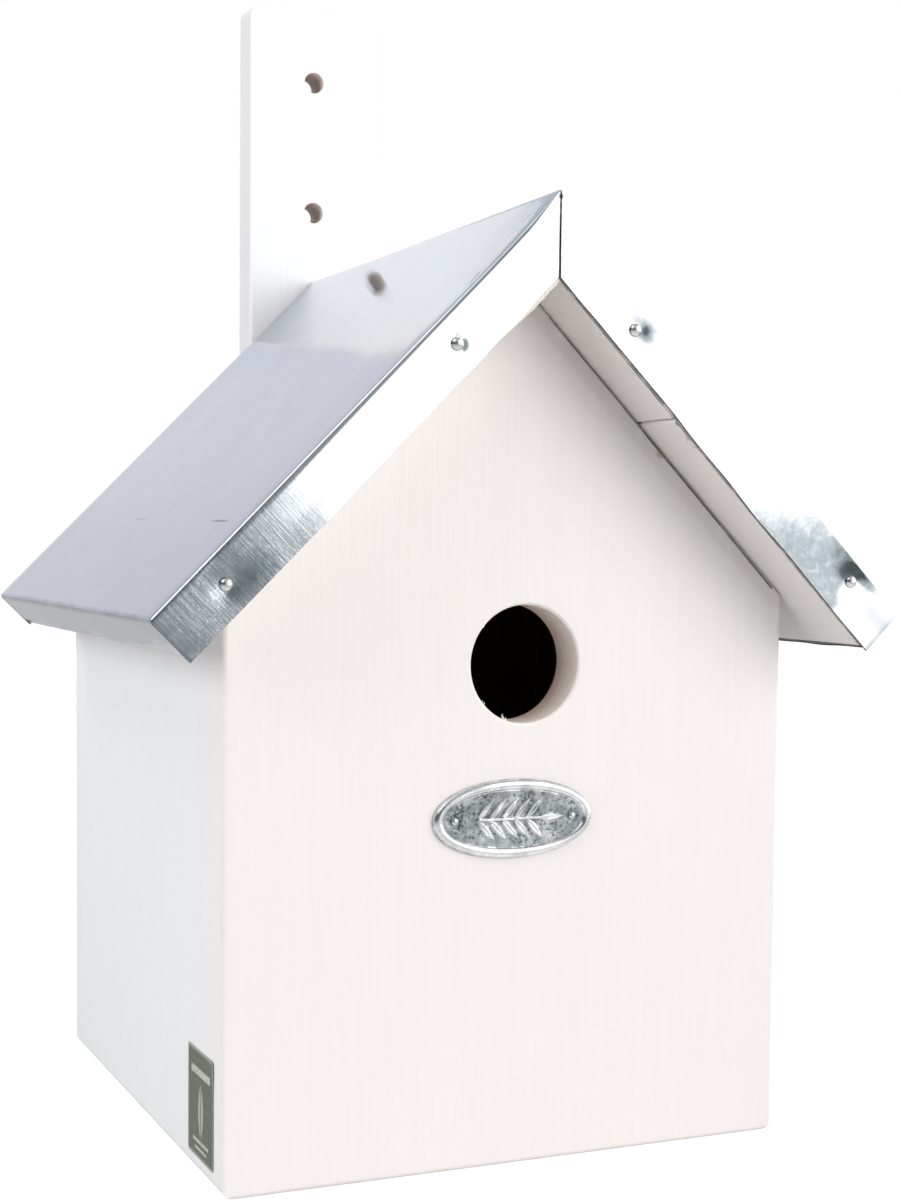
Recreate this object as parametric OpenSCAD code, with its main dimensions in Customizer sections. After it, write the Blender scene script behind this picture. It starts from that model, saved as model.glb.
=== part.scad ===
// Bird nest box: a gabled wooden box under a folded sheet-metal roof, with a board behind it to hang it by.
// X runs to the right seen from the front, Y runs away from the viewer and Z runs up.
// The origin is the middle of the underside, which the box stands on.

/* [Body] */
// Width of the body, from side to side
body_w = 166; // [150:1:190]
// Depth of the body, from the front face to the back face
body_d = 164; // [150:1:190]
// Height of the side walls at their outer face
side_h = 155; // [145:1:180]
// Thickness of the front wall
front_t = 13; // [11:0.5:16]
// Thickness of the back wall
back_t = 13; // [11:0.5:16]
// Thickness of the two side walls
side_t = 13; // [11:0.5:16]
// Thickness of the floor
floor_t = 13; // [9:0.5:18]
// Radius of the rounded lower corners, seen from the front
foot_r = 4; // [2:0.5:8]
// Radius of the eased outer edges of the walls
edge_r = 1.5; // [0.5:0.1:2.5]

/* [Entrance] */
// Diameter of the entrance hole
hole_d = 32; // [26:1:40]
// Height of the centre of the entrance hole above the foot
hole_z = 136.5; // [130:0.5:145]
// Distance of the centre of the entrance hole to the right of the middle
hole_x = 1.9; // [-5:0.1:5]
// Radius of the sanded outer edge of the entrance hole
hole_edge_r = 0.8; // [0.4:0.1:1.5]

/* [Drain holes] */
// Diameter of the drain holes in the floor
drain_d = 6; // [4:0.5:10]
// Distance of a drain hole's centre from each of the two nearest walls
drain_in = 14; // [10:1:20]

/* [Roof boards] */
// Slope of the roof, in degrees
pitch = 45; // [40:1:48]
// Thickness of the roof boards
plank_t = 13.6; // [11:0.2:16]
// Length of a slope from the ridge to the eave, outside the sheet
slope_l = 152.5; // [145:0.5:170]
// Distance down the slope from the ridge to the joint between its two boards
joint_l = 65.3; // [60:0.1:72]
// Gap between the two boards of a slope
joint_gap = 0.4; // [0.1:0.1:1]
// Reach of the roof in front of the front wall
overhang = 21; // [10:1:40]
// Radius of the eased edges of the roof boards
plank_edge_r = 0.9; // [0.7:0.1:1.5]

/* [Roof sheet] */
// Thickness of the sheet
sheet_t = 0.7; // [0.5:0.1:1]
// Outer radius of the folds at the gables and eaves
bend_r = 1.2; // [1.1:0.1:1.5]
// Outer radius of the sharp fold along the ridge
ridge_r = 0.9; // [0.8:0.1:1.1]
// Height of the turned-down front flange, which stands a little proud of the roof boards
front_flange_h = 15; // [13:0.5:20]
// Height of the turned-down flange of the left eave
eave_flange_left_h = 12; // [9:0.5:16]
// Height of the turned-down flange of the right eave
eave_flange_right_h = 15; // [9:0.5:16]
// Height that is left at the front end of the left eave's flange, which was trimmed by hand
trim_h = 8.5; // [7:0.5:9]
// Length of the hand-trimmed stretch at the front of the left eave's flange
trim_l = 60; // [30:1:90]
// Width of the slit where the two gable flanges meet, at its lower end
mitre_gap = 1.2; // [0.6:0.1:2]
// Width of the slit at each corner between the eave flange and the gable flange
corner_gap = 0.5; // [0.3:0.1:1]

/* [Hanging board] */
// Width of the hanging board
board_w = 45.5; // [38:0.5:52]
// Thickness of the hanging board
board_t = 12.5; // [10:0.5:16]
// Rise of the hanging board above the ridge
board_rise = 92; // [82:1:120]
// Height of the lower end of the hanging board above the foot
board_foot = 15; // [5:1:30]
// Radius of the corners of the hanging board, seen from the front
board_r = 4.5; // [2:0.5:8]
// Radius of the eased edges of the hanging board
board_edge_r = 1.2; // [0.5:0.1:2]
// Diameter of the two hanging holes
hang_hole_d = 7; // [5:0.5:9]
// Distance from the top of the board to the upper hanging hole
hang_hole_drop = 25; // [18:1:30]
// Distance between the two hanging holes
hang_hole_pitch = 44; // [30:1:50]

/* [Oval plate] */
// Length of the oval plate
plate_w = 47.5; // [42:0.5:60]
// Height of the oval plate
plate_h = 21.5; // [19:0.5:24]
// Thickness of the plate's field
plate_t = 0.8; // [0.6:0.1:1.2]
// Width of the rounded rim of the plate
rim_w = 3.2; // [2.4:0.1:4]
// Height of the half-round that the steps of the rim follow
rim_h = 1.7; // [1.4:0.1:2.2]
// Height of the centre of the plate above the foot
plate_z = 95; // [85:1:105]
// Distance of the centre of the plate to the left of the middle
plate_left = 1.4; // [0:0.1:5]
// Fullness of the plate's ends, where 1 is as tight as an ellipse's
end_fullness = 1.15; // [1:0.05:1.3]
// Distance between the two pins of the plate
pin_pitch = 35; // [33:0.5:36]
// Length of an embossed leaf
leaf_l = 7.5; // [5:0.5:8]
// Width of an embossed leaf
leaf_w = 2.6; // [1.5:0.1:3]
// Angle between an embossed leaf and the stem
leaf_turn = 48; // [30:1:60]
// Number of pairs of embossed leaves
leaf_pairs = 5; // [3:1:6]
// Length of the embossed stem
stem_l = 22; // [16:0.5:23]
// Width of the embossed stem
stem_w = 0.8; // [0.5:0.1:1.2]
// Height of the embossed leaves above the plate's field
emboss_h = 0.4; // [0.2:0.1:0.6]

/* [Nails and screws] */
// Diameter of the domed heads of the sheet nails
sheet_nail_head_d = 3.5; // [3:0.1:5]
// Height of the domed heads of the sheet nails
sheet_nail_head_h = 1.3; // [0.8:0.1:2]
// Diameter of the shanks of the sheet nails
sheet_nail_d = 1.8; // [1.4:0.1:2.4]
// Length of the sheet nails under the head
sheet_nail_l = 19; // [12:1:20]
// Clear distance along the back between the hanging board and the upper sheet nails
board_clear = 8; // [4:0.5:10]
// Distance from the eave back up the slope to the lower sheet nails
low_nail_up = 19.5; // [15:0.5:30]
// Distance down the slope from the ridge to the upper front nail on the left
high_nail_left_l = 48; // [35:0.5:55]
// Distance down the slope from the ridge to the upper front nail on the right
high_nail_right_l = 39.6; // [30:0.5:55]
// Distance from the sheet's outer face in to the sheet nails
nail_in = 7.8; // [6:0.1:9]
// The same for the lower right front nail, which was driven nearer the fold
right_low_nail_in = 5.2; // [4.5:0.1:9]
// Distance from the eave back up the slope to that nail
right_low_nail_up = 17.5; // [15:0.5:30]
// Diameter of the brads in the walls
brad_d = 1.6; // [1.2:0.1:2]
// Diameter of the small heads of the brads
brad_head_d = 2.4; // [2.2:0.1:3]
// Height of the heads of the brads
brad_head_h = 0.8; // [0.5:0.1:1.2]
// Length of the brads
brad_l = 30; // [25:1:35]
// Depth of filler and paint over the heads of the brads
brad_cover = 0.6; // [0.4:0.1:1]
// Distance from the ends of a side wall to its first and last brad
brad_end = 25; // [20:1:40]
// Number of brads along the front and back edge of a side wall
brad_count = 3; // [2:1:5]
// Diameter of the shanks of the nails in the roof boards
roof_nail_d = 2; // [1.6:0.1:2.4]
// Diameter of the flat heads of the nails in the roof boards
roof_nail_head_d = 4.4; // [4:0.1:6]
// Height of the heads of the nails in the roof boards
roof_nail_head_h = 0.8; // [0.5:0.1:1.2]
// Distance from the joint of a slope's boards up to the upper roof board nails
joint_nail_up = 22; // [20:1:25]
// Distance from the joint of a slope's boards down to the middle roof board nails
joint_nail_down = 16; // [10:1:20]
// Distance from the lower end of a gable's slope back up to the lowest roof board nails
gable_nail_up = 20; // [15:1:22]
// Length of the nails in the roof boards
roof_nail_l = 32; // [25:1:36]
// Diameter of the shanks of the screws in the hanging board
screw_d = 3.5; // [3:0.1:4.5]
// Diameter of the countersunk heads of the screws
screw_head_d = 7; // [6:0.1:8.5]
// Wood that is left between the tips of the screws and the inside of the back wall
screw_cover = 3.5; // [2:0.5:6]
// Distance between the left and the right screws
screw_pitch_x = 24; // [18:1:28]
// Height of the lower screws above the lower end of the hanging board
screw_low = 25; // [15:1:40]
// Distance between the lower and the upper screws
screw_pitch_z = 140; // [100:1:150]
// Diameter of the heads of the plate pins
pin_head_d = 2.2; // [1.8:0.1:2.6]
// Diameter of the shanks of the plate pins
pin_d = 1.1; // [0.8:0.1:1.4]
// Height of the heads of the plate pins
pin_head_h = 0.6; // [0.4:0.1:1]
// Length of the plate pins under the head
pin_l = 9; // [6:1:11]

/* [Clearances] */
// Gap round every nail, brad and screw in its hole
nail_gap = 0.05; // [0.02:0.01:0.1]
// Gap between the ends of the roof boards and the sheet's flanges
wrap_gap = 0.15; // [0.1:0.05:0.5]
// Gap between the lower edge of the back flange and the top of the back wall
back_flange_gap = 0.5; // [0.2:0.1:3]
// Gap between the floor and the walls round it
floor_gap = 0.2; // [0.1:0.05:0.8]

/* [Hidden] */

RIGHT = 1;
LEFT = -1;
PAINT = "#efecea";
BARE_WOOD = "#c9a877";
ZINC = "#b9c0c8";
STEEL = "#c8c8c8";

// Facets of a full circle on large holes, on eased edges, on nail heads and on thin shanks
HOLE_FN = 64;
EDGE_FN = 16;
HEAD_FN = 16;
SHANK_FN = 14;
// Overshoot of a cut past the face that it opens
past = 1;

front_y = -body_d / 2;
back_y = body_d / 2;
roof_t = plank_t + sheet_t;
back_flange_h = roof_t - back_flange_gap;
gable_h = side_h + body_w / 2 * tan(pitch);
ridge_z = gable_h + roof_t / cos(pitch);
roof_front_y = front_y - overhang;
board_top = ridge_z + board_rise;
// A length longer than any piece, for half-spaces and through cuts
reach = 2 * (slope_l + body_w);

// Where a point of the walls' width lies down the slope, in the slope's own frame
gable_end_l = body_w / 2 / cos(pitch) + roof_t * tan(pitch);
// Where the nails lie down the slope
roof_nail_ls = [joint_l - joint_nail_up, joint_l + joint_nail_down, gable_end_l - gable_nail_up];
low_nail_l = slope_l - low_nail_up;
right_low_nail_l = slope_l - right_low_nail_up;
back_high_nail_l = (board_w / 2 + sheet_nail_head_d / 2 + board_clear) / cos(pitch) + nail_in * tan(pitch);
screw_l = board_t + back_t - screw_cover;

// Puts a piece in the frame of one slope: X down the slope from the ridge, Z out of the roof
module on_slope(side) {
    translate([0, 0, ridge_z])
        if (side == LEFT)
            mirror([1, 0, 0]) rotate([0, pitch, 0]) children();
        else
            rotate([0, pitch, 0]) children();
}

// Turns a piece that is drawn for the right side into the one for the named side
module on_side(side) {
    if (side == LEFT)
        mirror([1, 0, 0]) children();
    else
        children();
}

// Everything under the plane that lies this deep below one slope's outer face
module under_slope(side, depth) {
    on_slope(side)
        translate([-reach, -reach, -depth - 2 * reach])
            cube(2 * reach);
}

// What a rounded corner takes off a square one, for a solid to the left of and below the origin
module corner_waste(r) {
    difference() {
        translate([-r, -r])
            square(r + past);
        translate([-r, -r])
            circle(r, $fn = EDGE_FN);
    }
}

// A cutter that eases an edge along X, where the solid lies behind (+Y) and below (-Z)
module edge_cutter(r, length) {
    rotate([90, 0, 90])
        linear_extrude(length, center = true)
            mirror([1, 0]) corner_waste(r);
}

// A shape drawn in X and Z, made solid from the plane y = 0 back
module from_front(thickness) {
    translate([0, thickness, 0])
        rotate([90, 0, 0])
            linear_extrude(thickness)
                children();
}

// Puts a piece that is drawn behind the plane y = 0 at the front face, or mirrored at the back face
module at_gable(is_back) {
    if (is_back)
        translate([0, back_y, 0]) mirror([0, 1, 0]) children();
    else
        translate([0, front_y, 0]) children();
}

// Heights of the brads that go into one edge of a side wall
function brad_zs() =
    [for (i = [0:brad_count - 1]) brad_end + i * (side_h - 2 * brad_end) / (brad_count - 1)];

// Places of the brads through the front or back wall, as X and Z: first the side walls, then the floor
function wall_brad_places() = concat(
    [for (side = [LEFT, RIGHT]) for (z = brad_zs()) [side * (body_w - side_t) / 2, z]],
    [for (side = [LEFT, RIGHT]) [side * body_w / 4, floor_t / 2]]
);

// Places of the brads through a side wall into the floor, as Y
side_brad_ys = [-body_d / 4, body_d / 4];

// Places of the four screws of the hanging board, as X and Z
screw_places = [
    for (side = [LEFT, RIGHT]) for (i = [0, 1])
        [side * screw_pitch_x / 2, board_foot + screw_low + i * screw_pitch_z]
];

// A brad along Y with its head at y = 0, or the hole for it when gap is more than nothing
module brad(gap = 0) {
    rotate([-90, 0, 0]) {
        cylinder(d = brad_d + 2 * gap, h = brad_l + gap, $fn = SHANK_FN);
        cylinder(d = brad_head_d + 2 * gap, h = brad_head_h + gap, $fn = SHANK_FN);
    }
}

// The brads of the front or back wall, or the holes for them
module wall_brads(is_back, gap = 0) {
    at_gable(is_back)
        for (place = wall_brad_places())
            translate([place[0], brad_cover, place[1]])
                brad(gap);
}

// The brads through both side walls into the floor, or the holes for them
module floor_brads(gap = 0) {
    for (side = [LEFT, RIGHT])
        on_side(side)
            for (y = side_brad_ys)
                translate([body_w / 2 - brad_cover, y, floor_t / 2])
                    rotate([0, 0, 90])
                        brad(gap);
}

// A nail down from z = 0 through a roof board into the gable under it, or the hole for it
module roof_nail(gap = 0) {
    above = gap > 0 ? past : 0;
    mirror([0, 0, 1]) {
        cylinder(d = roof_nail_d + 2 * gap, h = roof_nail_l + gap, $fn = SHANK_FN);
        translate([0, 0, -above])
            cylinder(d = roof_nail_head_d + 2 * gap, h = above + roof_nail_head_h + gap, $fn = SHANK_FN);
    }
}

// All the nails of one slope's boards, or the holes for them
module slope_nails(side, gap = 0) {
    on_slope(side)
        for (l = roof_nail_ls)
            for (y = [front_y + front_t / 2, back_y - back_t / 2])
                translate([l, y, -sheet_t - nail_gap])
                    roof_nail(gap);
}

module roof_plank_nails() {
    color(STEEL)
        for (side = [LEFT, RIGHT])
            slope_nails(side);
}

// A sheet nail along Y with its domed head in front of y = 0, or the hole for its shank
module sheet_nail(gap = 0) {
    rotate([-90, 0, 0])
        cylinder(d = sheet_nail_d + 2 * gap, h = sheet_nail_l + gap, $fn = SHANK_FN);
    if (gap == 0)
        rotate([90, 0, 0])
            dome(sheet_nail_head_d / 2, sheet_nail_head_h);
}

// A spherical cap with this radius at its foot and this height, standing on z = 0
module dome(r, h) {
    ball_r = (r * r + h * h) / (2 * h);
    intersection() {
        translate([0, 0, h - ball_r])
            sphere(ball_r, $fn = HEAD_FN);
        cylinder(r = r + past, h = h + past, $fn = HEAD_FN);
    }
}

// One front sheet nail, or its hole: how far down its slope and how far in from the outer face
module front_sheet_nail(side, l, depth, gap = 0) {
    on_slope(side)
        translate([l, roof_front_y - gap, -depth])
            sheet_nail(gap);
}

module front_sheet_nail_holes() {
    front_sheet_nail(LEFT, low_nail_l, nail_in, nail_gap);
    front_sheet_nail(LEFT, high_nail_left_l, nail_in, nail_gap);
    front_sheet_nail(RIGHT, high_nail_right_l, nail_in, nail_gap);
    front_sheet_nail(RIGHT, right_low_nail_l, right_low_nail_in, nail_gap);
}

// The four back sheet nails, or their holes
module back_sheet_nail_set(gap = 0) {
    for (side = [LEFT, RIGHT])
        on_slope(side)
            for (l = [low_nail_l, back_high_nail_l])
                translate([l, back_y + gap, -nail_in])
                    mirror([0, 1, 0])
                        sheet_nail(gap);
}

// A countersunk screw along Y with its head flush with y = 0, or the hole for it
module screw(gap = 0) {
    rotate([-90, 0, 0]) {
        cylinder(d = screw_d + 2 * gap, h = screw_l + gap, $fn = SHANK_FN);
        if (gap > 0)
            translate([0, 0, -past])
                cylinder(d = screw_head_d + 2 * gap, h = past, $fn = HEAD_FN);
        cylinder(d1 = screw_head_d + 2 * gap, d2 = screw_d + 2 * gap,
            h = (screw_head_d - screw_d) / 2, $fn = HEAD_FN);
    }
}

module board_screws(gap = 0) {
    for (place = screw_places)
        translate([place[0], back_y + board_t, place[1]])
            mirror([0, 1, 0])
                screw(gap);
}

// A front or back wall, drawn from its outer face at y = 0 back
module gable_wall(thickness) {
    outline = [
        [-body_w / 2, 0],
        [body_w / 2, 0],
        [body_w / 2, side_h],
        [0, gable_h],
        [-body_w / 2, side_h]
    ];
    difference() {
        from_front(thickness)
            difference() {
                polygon(outline);
                for (side = [LEFT, RIGHT])
                    on_side(side)
                        translate([body_w / 2, 0])
                            mirror([0, 1]) corner_waste(foot_r);
            }
        mirror([0, 0, 1])
            edge_cutter(edge_r, reach);
        for (side = [LEFT, RIGHT]) {
            on_side(side)
                translate([body_w / 2, 0, 0])
                    rotate([0, 90, 0])
                        edge_cutter(edge_r, reach);
            on_slope(side)
                translate([0, 0, -roof_t])
                    edge_cutter(edge_r, reach);
        }
    }
}

module front_wall() {
    color(PAINT)
        difference() {
            at_gable(false)
                gable_wall(front_t);
            translate([hole_x, front_y, hole_z])
                entrance_cutter();
            wall_brads(false, nail_gap);
            for (side = [LEFT, RIGHT])
                slope_nails(side, nail_gap);
            plate_pins(nail_gap);
        }
}

// The entrance hole along Y, with its outer edge rounded over
module entrance_cutter() {
    rotate([-90, 0, 0]) {
        translate([0, 0, -past])
            cylinder(d = hole_d, h = front_t + 2 * past, $fn = HOLE_FN);
        rotate_extrude($fn = HOLE_FN)
            difference() {
                translate([0, -past])
                    square([hole_d / 2 + hole_edge_r, hole_edge_r + past]);
                translate([hole_d / 2 + hole_edge_r, hole_edge_r])
                    circle(hole_edge_r, $fn = EDGE_FN);
            }
    }
}

module back_wall() {
    color(PAINT)
        difference() {
            at_gable(true)
                gable_wall(back_t);
            wall_brads(true, nail_gap);
            for (side = [LEFT, RIGHT])
                slope_nails(side, nail_gap);
            board_screws(nail_gap);
        }
}

// A side wall stands between the front and back walls and meets the roof with a bevelled top
module side_wall(side) {
    color(PAINT)
        difference() {
            intersection() {
                on_side(side)
                    translate([body_w / 2 - side_t, front_y + front_t, 0])
                        from_front(body_d - front_t - back_t)
                            difference() {
                                square([side_t, gable_h]);
                                translate([side_t, 0])
                                    mirror([0, 1]) corner_waste(foot_r);
                            }
                under_slope(side, roof_t);
            }
            wall_brads(false, nail_gap);
            wall_brads(true, nail_gap);
            floor_brads(nail_gap);
        }
}

module floor_board() {
    w = body_w - 2 * (side_t + floor_gap);
    y0 = front_y + front_t + floor_gap;
    y1 = back_y - back_t - floor_gap;
    color(BARE_WOOD)
        difference() {
            translate([-w / 2, y0, 0])
                cube([w, y1 - y0, floor_t]);
            for (x = [-1, 1] * (body_w / 2 - side_t - drain_in))
                for (y = [front_y + front_t + drain_in, back_y - back_t - drain_in])
                    translate([x, y, -past])
                        cylinder(d = drain_d, h = floor_t + 2 * past, $fn = HEAD_FN);
            wall_brads(false, nail_gap);
            wall_brads(true, nail_gap);
            floor_brads(nail_gap);
        }
}

// The lengthwise section of the space under the sheet that a board fills, from l0 to l1 down the slope
module plank_blank(l0, l1) {
    inset = sheet_t + wrap_gap;
    length = body_d + overhang - 2 * inset;
    intersection() {
        translate([0, roof_front_y + inset, 0])
            from_front(length)
                difference() {
                    translate([l0, -roof_t])
                        square([l1 - l0, plank_t]);
                    translate([l1, -sheet_t])
                        corner_waste(plank_edge_r);
                    translate([l1, -roof_t])
                        mirror([0, 1]) corner_waste(plank_edge_r);
                    translate([l0, -sheet_t])
                        mirror([1, 0]) corner_waste(plank_edge_r);
                    translate([l0, -roof_t])
                        rotate(180) corner_waste(plank_edge_r);
                }
        translate([l0 - past, 0, 0])
            rotate([90, 0, 90])
                linear_extrude(l1 - l0 + 2 * past)
                    difference() {
                        translate([roof_front_y + inset, -roof_t])
                            square([length, plank_t]);
                        translate([roof_front_y + inset + length, -sheet_t])
                            corner_waste(plank_edge_r);
                        translate([roof_front_y + inset, -sheet_t])
                            mirror([1, 0]) corner_waste(plank_edge_r);
                        translate([roof_front_y + inset, -roof_t])
                            rotate(180) corner_waste(plank_edge_r);
                    }
    }
}

// The board next to the ridge: the left one runs up to the ridge and the right one butts under it
module ridge_plank(side) {
    color(PAINT)
        difference() {
            intersection() {
                on_slope(side)
                    plank_blank(-roof_t, joint_l - joint_gap / 2);
                if (side == LEFT)
                    under_slope(RIGHT, sheet_t);
                else
                    under_slope(LEFT, roof_t);
            }
            slope_nails(side, nail_gap);
            front_sheet_nail_holes();
            back_sheet_nail_set(nail_gap);
        }
}

module eave_plank(side) {
    color(PAINT)
        difference() {
            on_slope(side)
                plank_blank(joint_l + joint_gap / 2, slope_l - sheet_t - wrap_gap);
            slope_nails(side, nail_gap);
            front_sheet_nail_holes();
            back_sheet_nail_set(nail_gap);
        }
}

// The block that one slope's sheet is folded round, with the outside of the sheet this far off its faces
module fold_block(inset, depth) {
    r = bend_r - inset;
    intersection() {
        translate([0, roof_front_y + inset, 0])
            from_front(body_d + overhang - 2 * inset)
                difference() {
                    translate([-reach, -depth])
                        square([reach + slope_l - inset, depth - inset]);
                    translate([slope_l - inset, -inset])
                        corner_waste(r);
                }
        translate([-reach, 0, 0])
            rotate([90, 0, 90])
                linear_extrude(2 * reach)
                    difference() {
                        translate([roof_front_y + inset, -depth])
                            square([body_d + overhang - 2 * inset, depth - inset]);
                        translate([back_y - inset, -inset])
                            corner_waste(r);
                        translate([roof_front_y + inset, -inset])
                            mirror([1, 0]) corner_waste(r);
                    }
    }
}

// What is cut from the eave flange: all of it below its height, and a slit at each end
module eave_flange_cutter(height, trimmed) {
    y0 = roof_front_y + sheet_t;
    y1 = back_y - sheet_t;
    translate([slope_l - sheet_t - past, 0, 0])
        rotate([90, 0, 90])
            linear_extrude(sheet_t + 2 * past) {
                translate([y0, -reach])
                    square([y1 - y0, reach - height]);
                for (y = [y0, y1 - corner_gap])
                    translate([y, -reach])
                        square([corner_gap, reach - bend_r]);
                if (trimmed)
                    polygon([[y0, -trim_h], [y0, -height - past], [y0 + trim_l, -height - past],
                        [y0 + trim_l, -height]]);
            }
}

// What is cut from the gable flange whose front face is at this Y: all of it below its height
module gable_flange_cutter(y, height) {
    translate([-reach, y - past, -height - reach])
        cube([2 * reach, sheet_t + 2 * past, reach]);
}

// One slope of the sheet with its three flanges, cut off over the middle of the ridge
module half_sheet(side) {
    eave_h = side == LEFT ? eave_flange_left_h : eave_flange_right_h;
    intersection() {
        on_slope(side)
            difference() {
                fold_block(0, max(front_flange_h, back_flange_h, eave_h));
                fold_block(sheet_t, reach);
                eave_flange_cutter(eave_h, side == LEFT);
                gable_flange_cutter(roof_front_y, front_flange_h);
                gable_flange_cutter(back_y - sheet_t, back_flange_h);
            }
        on_side(side)
            translate([0, -reach, 0])
                cube(2 * reach);
    }
}

// The thin wedges cut out where the gable flanges of the two slopes meet
module mitre_cutter() {
    z1 = ridge_z - 1.5 * bend_r / cos(pitch);
    z0 = ridge_z - front_flange_h / cos(pitch) - past;
    for (y = [roof_front_y - past, back_y - sheet_t - past])
        translate([0, y, 0])
            from_front(sheet_t + 2 * past)
                polygon([[0, z1], [-mitre_gap / 2, z0], [mitre_gap / 2, z0]]);
}

// What the rounded fold takes off the sharp ridge
module ridge_cutter() {
    z = ridge_z - ridge_r / cos(pitch);
    w = ridge_r * sin(pitch);
    h = ridge_r * cos(pitch);
    translate([0, roof_front_y - past, 0])
        from_front(body_d + overhang + 2 * past)
            difference() {
                translate([-w, z + h])
                    square([2 * w, ridge_z - z - h + past]);
                translate([0, z])
                    circle(ridge_r, $fn = EDGE_FN);
            }
}

module roof_sheet() {
    color(ZINC)
        difference() {
            union() {
                half_sheet(LEFT);
                half_sheet(RIGHT);
            }
            ridge_cutter();
            mitre_cutter();
            front_sheet_nail_holes();
            back_sheet_nail_set(nail_gap);
        }
}

module hanging_board() {
    h = board_top - board_foot;
    color(PAINT)
        translate([0, back_y, 0])
            difference() {
                from_front(board_t)
                    difference() {
                        translate([-board_w / 2, board_foot])
                            square([board_w, h]);
                        for (side = [LEFT, RIGHT])
                            on_side(side) {
                                translate([board_w / 2, board_top])
                                    corner_waste(board_r);
                                translate([board_w / 2, board_foot])
                                    mirror([0, 1]) corner_waste(board_r);
                            }
                    }
                for (side = [LEFT, RIGHT])
                    on_side(side)
                        translate([board_w / 2, 0, 0])
                            rotate([0, 90, 0]) {
                                edge_cutter(board_edge_r, 2 * reach);
                                translate([0, board_t, 0])
                                    mirror([0, 1, 0]) edge_cutter(board_edge_r, 2 * reach);
                            }
                translate([0, 0, board_top]) {
                    edge_cutter(board_edge_r, reach);
                    translate([0, board_t, 0])
                        mirror([0, 1, 0]) edge_cutter(board_edge_r, reach);
                }
                for (i = [0, 1])
                    translate([0, -past, board_top - hang_hole_drop - i * hang_hole_pitch])
                        rotate([-90, 0, 0])
                            cylinder(d = hang_hole_d, h = board_t + 2 * past, $fn = HOLE_FN / 2);
                translate([0, -back_y, 0])
                    board_screws(nail_gap);
            }
}

// Heights of the steps that make up the rim, as shares of the half-round's height
rim_steps = [0.55, 0.75, 0.88, 0.97];
// The oval is drawn with four arcs: a flat one above and below, and a tight one at each end
oval_end_r = end_fullness * plate_h * plate_h / (2 * plate_w);
oval_end_x = plate_w / 2 - oval_end_r;
// Radius of the flat arcs, which pass through the oval's top and run smoothly into the end arcs
oval_flat_r = (oval_end_x * oval_end_x + plate_h * plate_h / 4 - oval_end_r * oval_end_r)
    / (plate_h - 2 * oval_end_r);
oval_flat_z = oval_flat_r - plate_h / 2;
// Direction from the centre of a flat arc to where it meets an end arc
oval_turn = atan2(oval_end_x, oval_flat_z);

// The oval outline, shrunk on all sides by the given inset
module oval(inset) {
    join_x = oval_end_x + (oval_end_r - inset) * sin(oval_turn);
    intersection() {
        translate([0, -oval_flat_z])
            circle(oval_flat_r - inset, $fn = HOLE_FN);
        translate([0, oval_flat_z])
            circle(oval_flat_r - inset, $fn = HOLE_FN);
        square([2 * join_x, plate_h], center = true);
    }
    for (side = [LEFT, RIGHT])
        translate([side * oval_end_x, 0])
            circle(oval_end_r - inset, $fn = HOLE_FN / 2);
}

// Moves a piece drawn flat on z = 0, with z towards the viewer, onto the front wall at the plate's place
module on_plate() {
    translate([-plate_left, front_y, plate_z])
        rotate([90, 0, 0])
            children();
}

// A pointed leaf along X from the origin, as the overlap of two circles
module leaf(length, width) {
    r = (length * length + width * width) / (4 * width);
    translate([length / 2, 0])
        intersection() {
            translate([0, r - width / 2])
                circle(r, $fn = HEAD_FN);
            translate([0, width / 2 - r])
                circle(r, $fn = HEAD_FN);
        }
}

// The embossed sprig: a stem with pairs of leaves along it and one at its tip
module sprig() {
    linear_extrude(emboss_h) {
        square([stem_l, stem_w], center = true);
        translate([stem_l / 2 - leaf_l / 2, 0])
            leaf(leaf_l, leaf_w);
        for (i = [0:leaf_pairs - 1])
            for (turn = [-leaf_turn, leaf_turn])
                translate([-stem_l / 2 + i * (stem_l - leaf_l) / (leaf_pairs - 1), 0])
                    rotate(turn)
                        leaf(leaf_l, leaf_w);
    }
}

// One step of the rim, raised by this share of its height and set in as a half-round is there
module rim_step(up) {
    in = (1 - sqrt(1 - up * up)) * rim_w / 2;
    linear_extrude(up * rim_h)
        difference() {
            oval(in);
            oval(rim_w - in);
        }
}

// The plate: a thin field, a rim of steps that round over like a rolled edge, and the sprig
module oval_plate() {
    color(ZINC)
        on_plate()
            difference() {
                union() {
                    linear_extrude(plate_t)
                        oval(rim_w / 2);
                    for (up = rim_steps)
                        rim_step(up);
                    translate([0, 0, plate_t])
                        sprig();
                }
                for (side = [LEFT, RIGHT])
                    translate([side * pin_pitch / 2, 0, -past])
                        cylinder(d = pin_d + 2 * nail_gap, h = rim_h + 2 * past, $fn = SHANK_FN);
            }
}

// A plate pin with its rounded head on the plate's field, or the hole for its shank
module plate_pin(side, gap = 0) {
    on_plate()
        translate([side * pin_pitch / 2, 0, plate_t]) {
            translate([0, 0, -pin_l - gap])
                cylinder(d = pin_d + 2 * gap, h = pin_l + gap, $fn = SHANK_FN);
            if (gap == 0)
                dome(pin_head_d / 2, pin_head_h);
        }
}

module plate_pins(gap) {
    for (side = [LEFT, RIGHT])
        plate_pin(side, gap);
}

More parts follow.
